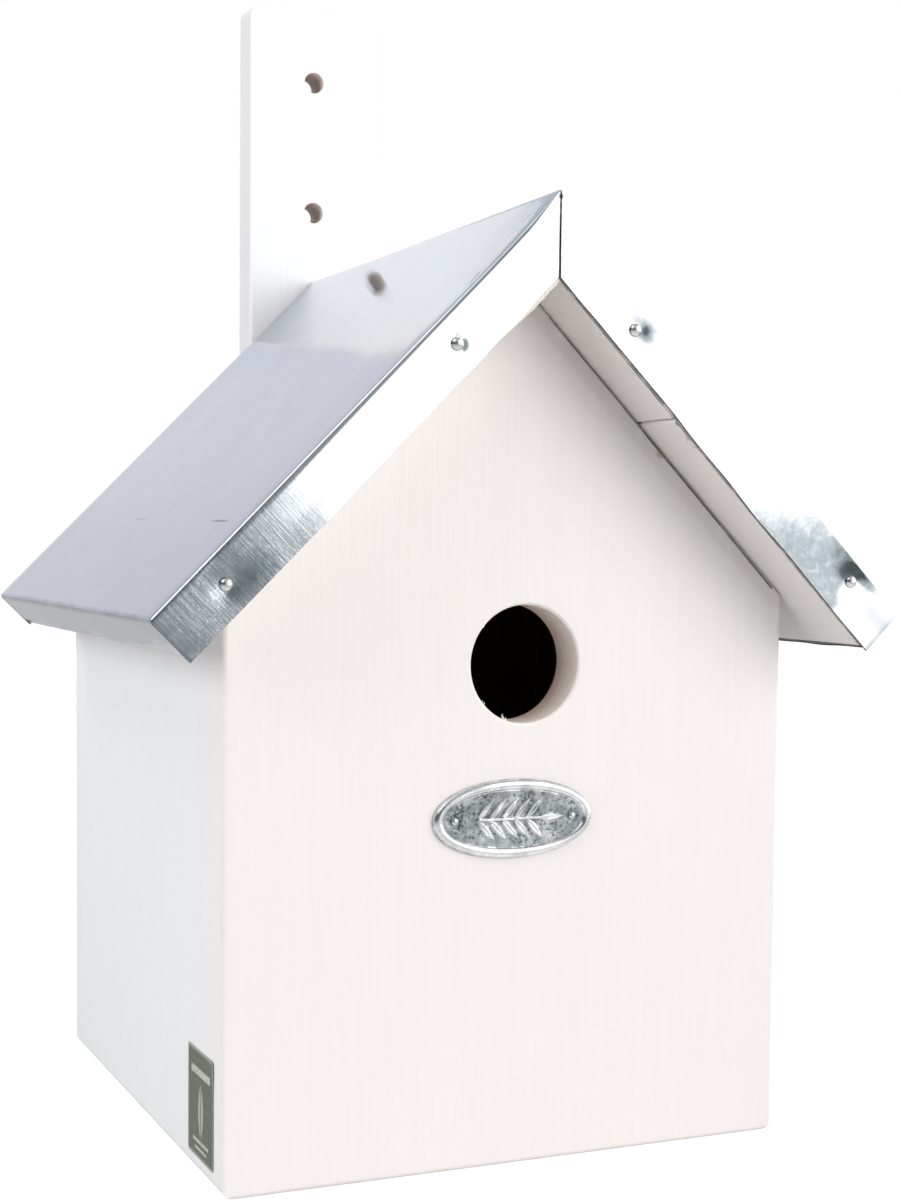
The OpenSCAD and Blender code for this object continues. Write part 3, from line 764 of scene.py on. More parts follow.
@dataclass(frozen=True)
class ZincSheet:
    """Rolled galvanised sheet: cloudy, with drawing marks on its flanges, painted shade in the eave's fold
    and by the ridge's slit, and painted dark reflections on its front flanges.
    """

    name: str
    colour: Colour = (0.66, 0.68, 0.702)
    rough: float = 0.075
    fold_s: float = 152.6 * MM
    slit_ends: tuple[Point, Point] = ((0.0, 0.0, 258.2 * MM), (0.0, 0.0, 236.5 * MM))
    apex: Point = (0.0, -103.0 * MM, 257.4 * MM)
    bend_s: float = 97.5 * MM
    bend_ease: float = 24.0 * MM
    bend_tilt: float = 0.042
    mark_depth: float = 0.00006
    scratches: tuple[Scratch, ...] = (
        Scratch(118.9 * MM, -92.0 * MM, -73.0 * MM, 0.36 * MM, 0.95),
        Scratch(117.8 * MM, -12.0 * MM, 6.0 * MM, 0.26 * MM, 0.45),
    )

    def build(self) -> Material:
        """Makes the sheet's material.

        Returns:
            The material.
        """
        made, g, shader = new_material(self.name)
        place = g.here()
        unrolled = g.node("ShaderNodeUVMap", uv_map="unrolled").outputs[0]
        zinc = g.group(GROUPS.zinc_clouds(), Vector=place)
        tone = zinc.outputs["Tone"]
        flange = g.read("flange")
        lines = g.noise(g.vector("MULTIPLY", unrolled, (1.0, 0.05, 1.0)), 1450.0, 3.0, 0.6, 0.1)
        broad = g.noise(g.vector("MULTIPLY", unrolled, (1.0, 0.25, 1.0)), 210.0, 3.0, 0.6, 0.6)
        flecks = g.noise(place, 1500.0, 3.0, 0.65)
        base = g.mix(g.times(tone, 0.5), self.colour, tuple(c * 0.90 for c in self.colour))
        base = g.mix(g.times(flange, 0.35), base, (0.50, 0.56, 0.57))
        streaks = g.times(g.span(lines, 0.40, 0.60), flange)
        base = g.mix(g.times(streaks, 0.68), base, (0.27, 0.32, 0.33))
        specks = g.times(g.span(flecks, 0.52, 0.70), flange)
        base = g.mix(g.times(specks, 0.55), base, (0.15, 0.19, 0.20))
        glints = g.times(g.span(g.noise(place, 1100.0, 2.0, 0.6, 0.8), 0.60, 0.72), flange)
        base = g.mix(g.times(glints, 0.8), base, (0.96, 0.98, 0.98))
        # painted dark reflection: the front flanges' colour goes dark where they should mirror dark
        # surroundings, with a painted shadow halo by the right upper nail
        dark_mirror = g.read("dark_mirror")
        mottle = g.minus(g.noise(place, 330.0, 5.0, 0.62, 0.5), 0.5)
        dark_mirror_share = g.plus(dark_mirror, g.times(g.times(mottle, 0.8), g.span(dark_mirror, 0.0, 0.35)), clamp=True)
        # the dark colours of the painted dark reflection
        worn = g.mix(g.span(dark_mirror_share, 0.45, 1.0), (0.275, 0.31, 0.33), (0.105, 0.125, 0.128))
        base = g.mix(g.span(dark_mirror_share, 0.0, 0.55), base, worn)
        base = self._fold_shade_and_marks(g, unrolled, place, base)
        g.feed(shader.inputs["Base Color"], base)
        shader.inputs["Metallic"].default_value = 1.0
        rough = g.plus(g.times(tone, 0.03), self.rough)
        g.feed(shader.inputs["Roughness"], g.plus(rough, g.times(flange, 0.10)))
        deep = g.plus(lines, g.times(broad, 0.8))
        deep = g.plus(deep, g.times(flecks, 0.35))
        ripple = g.times(deep, g.plus(g.times(flange, 0.985), 0.015))
        across, along, _ = g.parts(unrolled)
        run = g.minus(across, LEFT_SHIFT + self.bend_s)
        eased = g.math("MINIMUM", g.math("MAXIMUM", run, 0.0), self.bend_ease)
        rest = g.math("MAXIMUM", g.minus(run, self.bend_ease), 0.0)
        bend = g.plus(g.times(g.times(eased, eased), 1 / (2 * self.bend_ease)), rest)
        # the left flange's normals lean back slowly below bend_s, as a sheet bent by hand does
        bend = g.times(bend, -self.bend_tilt / self.mark_depth)
        bend = g.times(bend, g.math("LESS_THAN", along, -103.6 * MM))
        height = g.plus(g.plus(ripple, bend), g.times(zinc.outputs["Crystal"], 0.012))
        g.feed(shader.inputs["Normal"], bump(g, height, self.mark_depth))
        return made

    def _fold_shade_and_marks(self, g: Graph, unrolled: Feed, place: Feed, base: Feed) -> Socket:
        """Lays the painted shade in the eave's fold and by the ridge's slit, the tone changes on the slope
        and the scratches over the sheet's colour.

        Args:
            g: the graph.
            unrolled: the place on the unrolled sheet.
            place: the place in the part's frame.
            base: the sheet's colour so far.

        Returns:
            The colour with the painted shade, the tone changes and the scratches on it.
        """
        across, along, _ = g.parts(unrolled)
        left = g.math("GREATER_THAN", across, LEFT_SHIFT - 0.03)
        s = g.minus(across, g.times(left, LEFT_SHIFT))
        waver = g.times(g.minus(g.noise(place, 90.0, 3.0), 0.5), 1.6 * MM)
        far = g.math("ABSOLUTE", g.minus(g.plus(s, waver), self.fold_s))
        # painted shade along the eave's fold
        fold = g.times(
            g.span(far, 0.4 * MM, 1.6 * MM, 0.62, 0.0), g.span(g.noise(place, 60.0), 0.3, 0.6, 0.4, 1.0)
        )
        base = g.mix(fold, base, (0.20, 0.22, 0.235))
        slope = g.math("GREATER_THAN", along, -102.9 * MM)
        # darker and cooler near the ridge: a painted tone that dims the mirrored board
        upper = g.times(g.span(s, 40 * MM, 56 * MM, 1.0, 0.0), slope)
        base = g.mix(upper, base, (0.925, 0.965, 1.0), blend="MULTIPLY")
        # darker towards the eave
        lower = g.times(g.span(g.plus(s, g.times(waver, 6.0)), 84 * MM, 148 * MM), slope)
        base = g.mix(lower, base, (0.86, 0.86, 0.868), blend="MULTIPLY")
        # darker near the front fold by the ridge
        front_top_darkening = g.times(g.span(along, -103 * MM, -70 * MM, 1.0, 0.0), g.span(s, 0.0, 46 * MM, 1.0, 0.25))
        front_top_darkening = g.times(g.times(front_top_darkening, slope), g.span(g.noise(place, 55.0, 3.0), 0.3, 0.7, 0.5, 1.0))
        base = g.mix(front_top_darkening, base, (0.66, 0.665, 0.67), blend="MULTIPLY")
        # painted shade: the sheet darkens along the open mitre slit at the front
        slit = g.mask(
            GROUPS.seam_line(), Vector=place, Start=self.slit_ends[0], End=self.slit_ends[1],
            Half=0.22 * MM, Soft=0.30 * MM,
        )
        ahead = g.math("LESS_THAN", g.parts(place)[1], -102.0 * MM)
        slit_shade = g.times(g.times(slit, ahead), g.span(g.noise(place, 700.0), 0.3, 0.6, 0.5, 0.95))
        base = g.mix(slit_shade, base, (0.17, 0.17, 0.165))
        # a painted dark spot at the apex, for the shade at the slit's top
        apex = g.mask(
            GROUPS.round_spot(), Vector=place, Centre=self.apex, Axes=ALL_AXES,
            Radius=0.3 * MM, Soft=0.7 * MM,
        )
        base = g.mix(g.times(apex, 0.85), base, (0.03, 0.03, 0.03))
        for mark in self.scratches:
            off = g.span(g.math("ABSOLUTE", g.minus(s, mark.s)), mark.half * 0.5, mark.half * 1.5, 1.0, 0.0)
            middle, reach = (mark.start + mark.end) / 2, abs(mark.end - mark.start) / 2
            run = g.span(g.math("ABSOLUTE", g.minus(along, middle)), reach * 0.2, reach, 1.0, 0.0)
            both = g.times(g.times(off, run), g.times(left, mark.share))
            base = g.mix(both, base, (0.14, 0.13, 0.14))
        return base


@dataclass(frozen=True)
class CutEdge:
    """The raw edge that the shears left on the sheet, nearly black to stand in for the shade in the gap
    beside it.
    """

    name: str
    colour: Colour = (0.045, 0.043, 0.04)

    def build(self) -> Material:
        """Makes the cut edge's material.

        Returns:
            The material.
        """
        made, g, shader = new_material(self.name)
        place = g.here()
        burr = g.noise(place, 700.0, 3.0, 0.6)
        base = g.mix(g.span(burr, 0.45, 0.8), self.colour, (0.24, 0.24, 0.24))
        g.feed(shader.inputs["Base Color"], base)
        shader.inputs["Metallic"].default_value = 0.7
        g.feed(shader.inputs["Roughness"], g.span(burr, 0.3, 0.7, 0.45, 0.65))
        g.feed(shader.inputs["Normal"], bump(g, burr, 0.0001))
        return made


@dataclass(frozen=True)
class PressedPlate:
    """A small pressed plate, bright where it is raised and dim where it is sunk."""

    name: str
    high: Colour = (0.84, 0.85, 0.86)
    low: Colour = (0.31, 0.34, 0.35)

    def build(self) -> Material:
        """Makes the plate's material.

        Returns:
            The material.
        """
        made, g, shader = new_material(self.name)
        place = g.here()
        relief = g.read("relief")
        zinc = g.group(GROUPS.zinc_clouds(), Vector=place, Scale=4.0)
        clouds = g.times(g.minus(zinc.outputs["Tone"], 0.5), 0.7)
        bright = g.plus(relief, clouds, clamp=True)
        base = g.mix(bright, self.low, self.high)
        spots = g.mask(GROUPS.speckle(), Vector=place, Scale=1100.0, Amount=0.47)
        sunk = g.minus(1.0, relief, clamp=True)
        base = g.mix(g.times(g.times(spots, sunk), 0.85), base, (0.055, 0.065, 0.068))
        g.feed(shader.inputs["Base Color"], base)
        shader.inputs["Metallic"].default_value = 1.0
        g.feed(shader.inputs["Roughness"], g.span(bright, 0.0, 1.0, 0.42, 0.24))
        grit = g.noise(place, 2600.0, 3.0, 0.6)
        g.feed(shader.inputs["Normal"], bump(g, grit, 0.00005, 0.8))
        return made


@dataclass(frozen=True)
class NailMetal:
    """Bright zinc-coated steel, a little grubby."""

    name: str
    colour: Colour = (0.78, 0.78, 0.77)
    rough: float = 0.2

    def build(self) -> Material:
        """Makes the nails' material.

        Returns:
            The material.
        """
        made, g, shader = new_material(self.name)
        place = g.here()
        zinc = g.group(GROUPS.zinc_clouds(), Vector=place, Scale=6.0)
        base = g.mix(g.times(zinc.outputs["Tone"], 0.5), self.colour, tuple(c * 0.6 for c in self.colour))
        rust = g.mask(GROUPS.speckle(), Vector=place, Scale=2200.0, Amount=0.36)
        base = g.mix(g.times(rust, 0.5), base, (0.25, 0.17, 0.11))
        g.feed(shader.inputs["Base Color"], base)
        shader.inputs["Metallic"].default_value = 1.0
        g.feed(
            shader.inputs["Roughness"],
            g.span(zinc.outputs["Tone"], 0.0, 1.0, self.rough, self.rough + 0.14),
        )
        g.feed(shader.inputs["Normal"], bump(g, g.noise(place, 1800.0, 3.0), 0.00003))
        return made


@dataclass(frozen=True)
class GreenLabel:
    """A small printed label: dark green with plain pale bars and a leaf."""

    name: str
    green: Colour = (0.085, 0.105, 0.072)
    pale: Colour = (0.50, 0.53, 0.44)

    def build(self) -> Material:
        """Makes the label's material.

        Returns:
            The material.
        """
        made, g, shader = new_material(self.name)
        u, v, _ = g.parts(g.node("ShaderNodeUVMap", uv_map="face").outputs[0])
        bars = 0.0
        for low, high, left, right in (
            (0.76, 0.83, 0.14, 0.86), (0.14, 0.17, 0.2, 0.8), (0.075, 0.10, 0.28, 0.72)
        ):
            bars = g.math("MAXIMUM", bars, self._bar(g, u, v, left, right, low, high))
        leaf = g.math(
            "MINIMUM", self._disc(g, u, v, 0.24, 0.44, 0.36), self._disc(g, u, v, 0.76, 0.44, 0.36)
        )
        vein = self._bar(g, u, v, 0.488, 0.512, 0.2, 0.66)
        leaf = g.minus(g.math("MAXIMUM", leaf, vein), g.times(leaf, vein), clamp=True)
        print_mask = g.math("MAXIMUM", bars, g.times(leaf, 0.75))
        worn = g.noise(g.here(), 900.0, 3.0)
        share = g.times(print_mask, g.span(worn, 0.25, 0.6, 0.55, 1.0))
        base = g.mix(share, self.green, self.pale)
        rim = self._bar(g, u, v, 0.03, 0.97, 0.025, 0.975)
        base = g.mix(rim, (0.28, 0.31, 0.25), base)
        g.feed(shader.inputs["Base Color"], base)
        g.feed(shader.inputs["Roughness"], g.span(worn, 0.3, 0.7, 0.38, 0.5))
        g.feed(shader.inputs["Normal"], bump(g, worn, 0.00003))
        return made

    def _bar(
        self, g: Graph, u: Feed, v: Feed, left: float, right: float, low: float, high: float
    ) -> Socket:
        """Gives a mask of an upright rectangle on the label.

        Args:
            g: the graph.
            u: the place across the label, from 0 to 1.
            v: the place up the label, from 0 to 1.
            left: the rectangle's left side.
            right: its right side.
            low: its foot.
            high: its top.

        Returns:
            1 inside the rectangle and 0 outside it.
        """
        across = g.times(
            g.span(u, left - 0.008, left + 0.008), g.span(u, right - 0.008, right + 0.008, 1.0, 0.0)
        )
        along = g.times(
            g.span(v, low - 0.006, low + 0.006), g.span(v, high - 0.006, high + 0.006, 1.0, 0.0)
        )
        return g.times(across, along)

    def _disc(self, g: Graph, u: Feed, v: Feed, cu: float, cv: float, radius: float) -> Socket:
        """Gives a mask of a disc on the label.

        Args:
            g: the graph.
            u: the place across the label, from 0 to 1.
            v: the place up the label, from 0 to 1.
            cu: the disc's middle across the label.
            cv: its middle up the label.
            radius: its radius.

        Returns:
            1 inside the disc and 0 outside it.
        """
        du, dv = g.minus(u, cu), g.minus(v, cv)
        far = g.math("SQRT", g.plus(g.times(du, du), g.times(dv, dv)))
        return g.span(far, radius - 0.01, radius + 0.01, 1.0, 0.0)


def make_object(name: str, points: np.ndarray, faces: Sequence[Sequence[int]], finish: Material) -> Piece:
    """Makes a mesh object at the origin.

    Args:
        name: the piece's name.
        points: its corners.
        faces: its faces, as corner numbers.
        finish: its material.

    Returns:
        The object, linked to the scene.
    """
    mesh = bpy.data.meshes.new(name)
    mesh.from_pydata([tuple(map(float, p)) for p in points], [], [tuple(map(int, f)) for f in faces])
    mesh.validate()
    mesh.materials.append(finish)
    made = bpy.data.objects.new(name, mesh)
    bpy.context.scene.collection.objects.link(made)
    return made


def settle(piece: Piece) -> Piece:
    """Turns a piece with live modifiers into one with a plain mesh.

    Args:
        piece: the object whose modifiers are done.

    Returns:
        The same object, with its modifiers removed.
    """
    graph = bpy.context.evaluated_depsgraph_get()
    done = bpy.data.meshes.new_from_object(
        piece.evaluated_get(graph), preserve_all_data_layers=True, depsgraph=graph
    )
    old = piece.data
    piece.modifiers.clear()
    piece.data = done
    done.name = piece.name
    if old.users == 0:
        bpy.data.meshes.remove(old)
    return piece


def soften(piece: Piece, degrees: float) -> None:
    """Shades a piece smooth, apart from edges sharper than this angle."""
    piece.data.shade_smooth()
    piece.data.set_sharp_from_angle(angle=math.radians(degrees))


def hand_over(piece: Piece, slot: str, *nodes: str) -> Piece:
    """Rides a finished piece on the box and says what it stands for.

    Args:
        piece: the finished object.
        slot: the record's material slot.
        nodes: the CAD nodes that it replaces, if any.

    Returns:
        The same object.
    """
    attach(piece, BODY)
    if nodes:
        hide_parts(*nodes)
    LOG.info(
        "%s: %d faces, slot %s, stands for %s", piece.name, len(piece.data.polygons), slot,
        ", ".join(nodes) or "nothing",
    )
    return piece


def waves(u: np.ndarray, v: np.ndarray, seed: int, length: float, count: int = 7) -> np.ndarray:
    """Gives a smooth uneven field, the same on every run.

    Args:
        u: first coordinate of each place.
        v: second coordinate of each place.
        seed: which field it is.
        length: the length of its typical wave.
        count: how many waves it is made of.

    Returns:
        The field's value at each place, between about -1 and 1.
    """
    rng = np.random.default_rng(seed)
    total = np.zeros(np.broadcast(u, v).shape)
    for _ in range(count):
        turn, phase = rng.uniform(0, 2 * math.pi, 2)
        k = 2 * math.pi / (length * rng.uniform(0.6, 1.7))
        total = total + np.sin(k * (math.cos(turn) * u + math.sin(turn) * v) + phase)
    return total / math.sqrt(count) / 1.3


def smooth_step(value: np.ndarray, low: float, high: float) -> np.ndarray:
    """Rises smoothly from 0 at low to 1 at high."""
    share = np.clip((value - low) / (high - low), 0.0, 1.0)
    return share * share * (3 - 2 * share)


@dataclass(frozen=True)
class Roof:
    """The sizes of the roof that its sheet and its nails share."""

    ridge_z: float = 258.22 * MM
    slope_l: float = 152.5 * MM
    pitch: float = math.radians(45)
    front_y: float = -103.0 * MM
    back_y: float = 82.0 * MM

    def place(self, side: Side, s: float, y: float, t: float) -> Point:
        """Gives the point at s down one slope and t under its outer face.

        Args:
            side: which slope.
            s: distance down the slope from the ridge.
            y: distance along the ridge.
            t: depth under the outer face.

        Returns:
            The point in the part's frame.
        """
        c, d = math.cos(self.pitch), math.sin(self.pitch)
        return (side.value * (s * c - t * d), y, self.ridge_z - s * d - t * c)


@dataclass(frozen=True)
class Dimple:
    """A dent that a nail has pulled into a gable flange of the sheet."""

    side: Side
    s: float
    t: float
    depth: float
    radius: float
    front: bool = True


FRONT_DIMPLES = (
    Dimple(Side.LEFT, 133.0 * MM, 7.8 * MM, 0.75 * MM, 4.6 * MM),
    Dimple(Side.LEFT, 48.0 * MM, 7.8 * MM, 0.35 * MM, 3.2 * MM),
    Dimple(Side.RIGHT, 39.6 * MM, 7.8 * MM, 0.5 * MM, 5.0 * MM),
    Dimple(Side.RIGHT, 135.0 * MM, 5.2 * MM, 0.7 * MM, 4.8 * MM),
)
BACK_DIMPLES = tuple(
    Dimple(side, s, 7.8 * MM, 0.4 * MM, 3.6 * MM, front=False)
    for side in Side
    for s in (133.0 * MM, 53.76 * MM)
)


@dataclass
class RoofSheet:
    """One folded sheet: two slopes and turned-down flanges, dented by its nails and trimmed by hand."""

    finish: Material
    edge_finish: Material
    roof: Roof = Roof()
    thickness: float = 0.7 * MM
    fold_r: float = 1.2 * MM
    ridge_r: float = 0.9 * MM
    front_h: float = 15.0 * MM
    back_h: float = 13.8 * MM
    eave_h: dict[Side, float] = field(default_factory=lambda: {Side.LEFT: 12.0 * MM, Side.RIGHT: 14.3 * MM})
    trim_h: float = 8.5 * MM
    trim_l: float = 60.0 * MM
    mitre_gap: float = 0.6 * MM
    right_short: float = 0.4 * MM
    ridge_rise: float = 0.95 * MM
    left_lean: float = 0.45
    right_lean: float = -0.08
    weld_gap: float = 0.02 * MM
    rows: int = 150
    flat_columns: int = 44
    front_columns: int = 15
    back_columns: int = 12
    fold_steps: int = 6
    ridge_steps: int = 4
    eave_steps: int = 9
    dimples: tuple[Dimple, ...] = FRONT_DIMPLES + BACK_DIMPLES

    def build(self) -> Piece:
        """Builds the sheet and hands it over.

        Returns:
            The sheet's object.
        """
        points, faces, maps, flange = [], [], [], []
        for side in Side:
            start = sum(len(p) for p in points)
            made = self._half(side)
            points.append(made[0])
            faces += [tuple(start + i for i in f) for f in made[1]]
            maps.append(made[2])
            flange.append(made[3])
        piece = make_object("roof_sheet_folded", np.vstack(points), faces, self.finish)
        self._attach(piece, np.vstack(maps), np.vstack(flange))
        weld = piece.modifiers.new("weld", "WELD")
        weld.merge_threshold = self.weld_gap
        skin = piece.modifiers.new("skin", "SOLIDIFY")
        skin.thickness = self.thickness
        skin.offset = -1.0
        skin.use_even_offset = True
        piece.data.materials.append(self.edge_finish)
        skin.material_offset_rim = 1
        settle(piece)
        soften(piece, 40)
        return hand_over(piece, "galvanised_sheet", "roof_sheet")

    def _attach(self, piece: Piece, maps: np.ndarray, flange: np.ndarray) -> None:
        """Stores what the finish reads at each corner of the sheet.

        Args:
            piece: the sheet's object.
            maps: each corner's place on the unrolled sheet.
            flange: each corner's share of the flange's finish, and its share of painted dark reflection.
        """
        mesh = piece.data
        layer = mesh.uv_layers.new(name="unrolled")
        corner = np.zeros(len(mesh.loops), np.int32)
        mesh.loops.foreach_get("vertex_index", corner)
        layer.data.foreach_set("uv", maps[corner].astype(np.float32).ravel())
        for i, name in enumerate(("flange", "dark_mirror")):
            mesh.attributes.new(name, "FLOAT", "POINT").data.foreach_set(
                "value", flange[:, i].astype(np.float32)
            )

    def _columns(self) -> np.ndarray:
        """Gives the columns, from the front flange's edge over the slope to the back's.

        Returns:
            Each column's y, depth and unrolled place.
        """
        r, front, back = self.fold_r, self.roof.front_y, self.roof.back_y
        turn = np.linspace(0, math.pi / 2, self.fold_steps)
        depth = np.linspace(self.front_h, r, self.front_columns)[:-1]
        flat = np.linspace(front + r, back - r, self.flat_columns + 2)[1:-1]
        arc = r * math.pi / 2
        cols = [(front, t, front - (t - r) - arc + r) for t in depth]
        cols += [(front + r - r * math.cos(a), r - r * math.sin(a), front + r - arc + r * a) for a in turn]
        cols += [(y, 0.0, y) for y in flat]
        cols += [(back - r + r * math.sin(a), r - r * math.cos(a), back - r + r * a) for a in turn]
        depth = np.linspace(r, self.back_h, self.back_columns)[1:]
        cols += [(back, t, back + (t - r) + arc - r) for t in depth]
        return np.array(cols)

    def _rows(self) -> np.ndarray:
        """Gives the rows, from the ridge's fold to the eave's.

        Returns:
            Each row's distance down the slope, and its depth.
        """
        p, r, long = self.roof.pitch, self.ridge_r, self.roof.slope_l
        rows = []
        for a in np.linspace(0, p, self.ridge_steps)[:-1]:
            dx, dz = r * math.sin(a), r * math.cos(a) - r / math.cos(p)
            rows.append((dx * math.cos(p) - dz * math.sin(p), -dx * math.sin(p) - dz * math.cos(p)))
        rows += [(s, 0.0) for s in np.linspace(r * math.tan(p), long - self.fold_r, self.rows)]
        for a in np.linspace(0, math.pi / 2, self.fold_steps)[1:]:
            rows.append((long - self.fold_r + self.fold_r * math.sin(a), self.fold_r * (1 - math.cos(a))))
        return np.array(rows)

    def _half(self, side: Side) -> tuple[np.ndarray, list[tuple[int, ...]], np.ndarray, np.ndarray]:
        """Builds one slope's outer skin.

        Args:
            side: which slope.

        Returns:
            Its corners, faces, unrolled places, and flange and painted dark reflection shares.
        """
        cols, rows = self._columns(), self._rows()
        s, t, y = self._spread(side, cols, rows)
        s, t, y = self._work(side, s, t, y, cols)
        n_rows, n_cols = s.shape
        grid = np.arange(n_rows * n_cols).reshape(n_rows, n_cols)
        maps = np.stack([s, np.broadcast_to(cols[:, 2], s.shape)], axis=-1)
        share = smooth_step(np.abs(np.broadcast_to(cols[:, 1], s.shape)), 0.0, self.fold_r)
        front = cols[None, :, 0] < self.roof.front_y + 0.1 * MM
        dark_mirror = np.where(front, self._dark_mirror(side, s, t), 0.0)
        if side is Side.LEFT:
            share = share * (0.04 + 0.96 * smooth_step(s, 92 * MM, 128 * MM))
        else:
            share = share * 0.10
        lip, lip_grid, lip_map = self._eave_lip(side, cols, s, y, grid)
        slope = np.vstack([np.stack([s, y, t], axis=-1).reshape(-1, 3), lip])
        shares = np.vstack(
            [np.stack([share, dark_mirror], axis=-1).reshape(-1, 2), np.tile((0.08, 0.0), (len(lip), 1))]
        )
        faces = self._quads(grid) + self._quads(lip_grid)
        c, d = math.cos(self.roof.pitch), math.sin(self.roof.pitch)
        x = side.value * (slope[:, 0] * c - slope[:, 2] * d)
        z = self.roof.ridge_z - slope[:, 0] * d - slope[:, 2] * c
        points = np.stack([x, slope[:, 1], z], axis=-1)
        if side is Side.LEFT:
            faces = [f[::-1] for f in faces]
        shift = np.array([LEFT_SHIFT if side is Side.LEFT else 0.0, 0.0])
        return points, faces, np.vstack([maps.reshape(-1, 2), lip_map]) + shift, shares

    def _dark_mirror(self, side: Side, s: np.ndarray, t: np.ndarray) -> np.ndarray:
        """Gives the painted dark reflection at each point of a front flange, from 0 to 1: the zinc's colour
        goes dark where it stands in for dark surroundings that the flange mirrors.

        Args:
            side: which slope.
            s: distance down the slope of each point.
            t: depth of each point under the outer face.

        Returns:
            The dullness at each point.
        """
        if side is Side.LEFT:
            # painted dark reflection round the lower nail, at the cut tip and along the fold above the nail
            around = np.exp(-(((s - 126 * MM) / (6.5 * MM)) ** 2) - ((t - 10.5 * MM) / (4.5 * MM)) ** 2)
            corner = smooth_step(s + 0.25 * t, 145 * MM, 154 * MM)
            upper = np.exp(-(((s - 127 * MM) / (9 * MM)) ** 2) - ((t - 3 * MM) / (3 * MM)) ** 2)
            dark_mirror_share = 0.10 * smooth_step(s, 106 * MM, 128 * MM) + 0.62 * around + 0.3 * corner + 0.25 * upper
            return np.clip(dark_mirror_share, 0.0, 1.0)
        # painted dark reflection: one slanting patch with a darker fold, and a painted shadow halo round
        # the upper nail
        start = 112 * MM - 1.2 * (t - 1.6 * MM)
        near = 1 - smooth_step(t, 2.5 * MM, 4.8 * MM)
        end = 133.5 * MM + 3.5 * MM * near + 2.5 * MM * smooth_step(t, 9 * MM, 14 * MM)
        begun = smooth_step(s, start - 10 * MM, start + 16 * MM)
        patch = begun * (1 - smooth_step(s, end - 1.3 * MM, end + 1.8 * MM + 7 * MM * near))
        fold = (1 - smooth_step(t, 2 * MM, 8 * MM)) * smooth_step(s, 119 * MM, 134 * MM)
        halo = np.exp(-(((s - 42.0 * MM) / (2.9 * MM)) ** 2) - ((t - 6.0 * MM) / (2.7 * MM)) ** 2)
        return np.clip(patch * (0.5 + 0.5 * fold) + 0.85 * halo, 0.0, 1.0)

    def _spread(
        self, side: Side, cols: np.ndarray, rows: np.ndarray
    ) -> tuple[np.ndarray, np.ndarray, np.ndarray]:
        """Lays the rows and columns out on the plain folded shape, with the flanges mitred at the ridge.

        Args:
            side: which slope.
            cols: the columns.
            rows: the rows.

        Returns:
            Distance down the slope, depth and y of each point.
        """
        p = math.tan(self.roof.pitch)
        s_row, o_row = rows[:, :1], rows[:, 1:]
        front, r = self.roof.front_y, self.fold_r
        # the front fold is tight at the ridge, and the mitre opens towards the flanges' edges
        tight = 0.3 + 0.7 * smooth_step(s_row, 1 * MM, 14 * MM)
        arc = (cols[None, :, 0] <= front + r + 1e-7) & (cols[None, :, 1] <= r + 1e-7)
        t = np.maximum(np.where(arc, cols[None, :, 1] * tight, cols[None, :, 1]), o_row)
        y = np.where(arc, front + (cols[None, :, 0] - front) * tight, cols[None, :, 0])
        rising = smooth_step(s_row, 8 * MM, 20 * MM)
        falling = 1 - smooth_step(s_row, 50 * MM, 80 * MM)
        short = self.right_short * rising * falling * (side is Side.RIGHT)
        t = t - np.where(cols[None, :, 0] < front + 0.1 * MM, short * smooth_step(t, 8 * MM, 14 * MM), 0.0)
        share = 1 - np.clip((s_row - rows[0, 0]) / (self.roof.slope_l - rows[0, 0]), 0, 1)
        s = s_row + (t - o_row) * p * share
        upper = smooth_step(t, 0.02 * MM, 0.3 * MM)
        lower = np.clip((t - 2 * MM) / (self.front_h - 2 * MM), 0, 1)
        open_share = 0.6 * upper + 0.4 * lower
        s = s + self.mitre_gap / 2 / math.cos(self.roof.pitch) * open_share * share**12
        return s, t, y

    def _work(
        self, side: Side, s: np.ndarray, t: np.ndarray, y: np.ndarray, cols: np.ndarray
    ) -> tuple[np.ndarray, np.ndarray, np.ndarray]:
        """Adds what hands and nails did: dimples, soft waves and uneven cut edges.

        Args:
            side: which slope.
            s: distance down the slope of each point.
            t: depth of each point under the outer face.
            y: place along the ridge of each point.
            cols: the columns.

        Returns:
            The moved distance, depth and y of each point.
        """
        low = smooth_step(t, self.fold_r, 10 * MM)
        seed = 3 if side is Side.LEFT else 8
        front = (cols[None, :, 0] < self.roof.front_y + 0.1 * MM) & (cols[None, :, 1] >= self.fold_r)
        back = (cols[None, :, 0] > self.roof.back_y - 0.1 * MM) & (cols[None, :, 1] >= self.fold_r)
        strength = 0.05 + 0.10 * smooth_step(s, 92 * MM, 112 * MM) * (side is Side.LEFT)
        sway = waves(s, t, seed, 60 * MM) * strength * MM + waves(s, t, seed + 1, 16 * MM) * 0.04 * MM
        push = np.where(front, sway * low + 0.15 * MM * low, 0.0)
        push = push + np.where(back, sway * low * 0.6 - 0.2 * MM * low, 0.0)
        for dent in self.dimples:
            if dent.side is not side:
                continue
            far = np.sqrt((s - dent.s) ** 2 + (t - dent.t) ** 2) / dent.radius
            hit = dent.depth * np.exp(-(far**2) * 1.6)
            push = push + np.where(front & dent.front, hit, 0.0)
            push = push - np.where(back & (not dent.front), hit, 0.0)
        lean = np.full_like(s, self.right_lean)
        if side is Side.LEFT:
            lean = self.left_lean * np.clip((s - 104 * MM) / (44 * MM), 0.0, 1.0)
        y = y + push + np.where(front, lean * MM * (t - self.fold_r) / (13 * MM), 0.0)
        cut = waves(s, np.zeros_like(s), seed + 2, 22 * MM) * 0.18 * MM
        t = t + np.where(front | back, cut * smooth_step(t, 8 * MM, 14 * MM), 0.0)
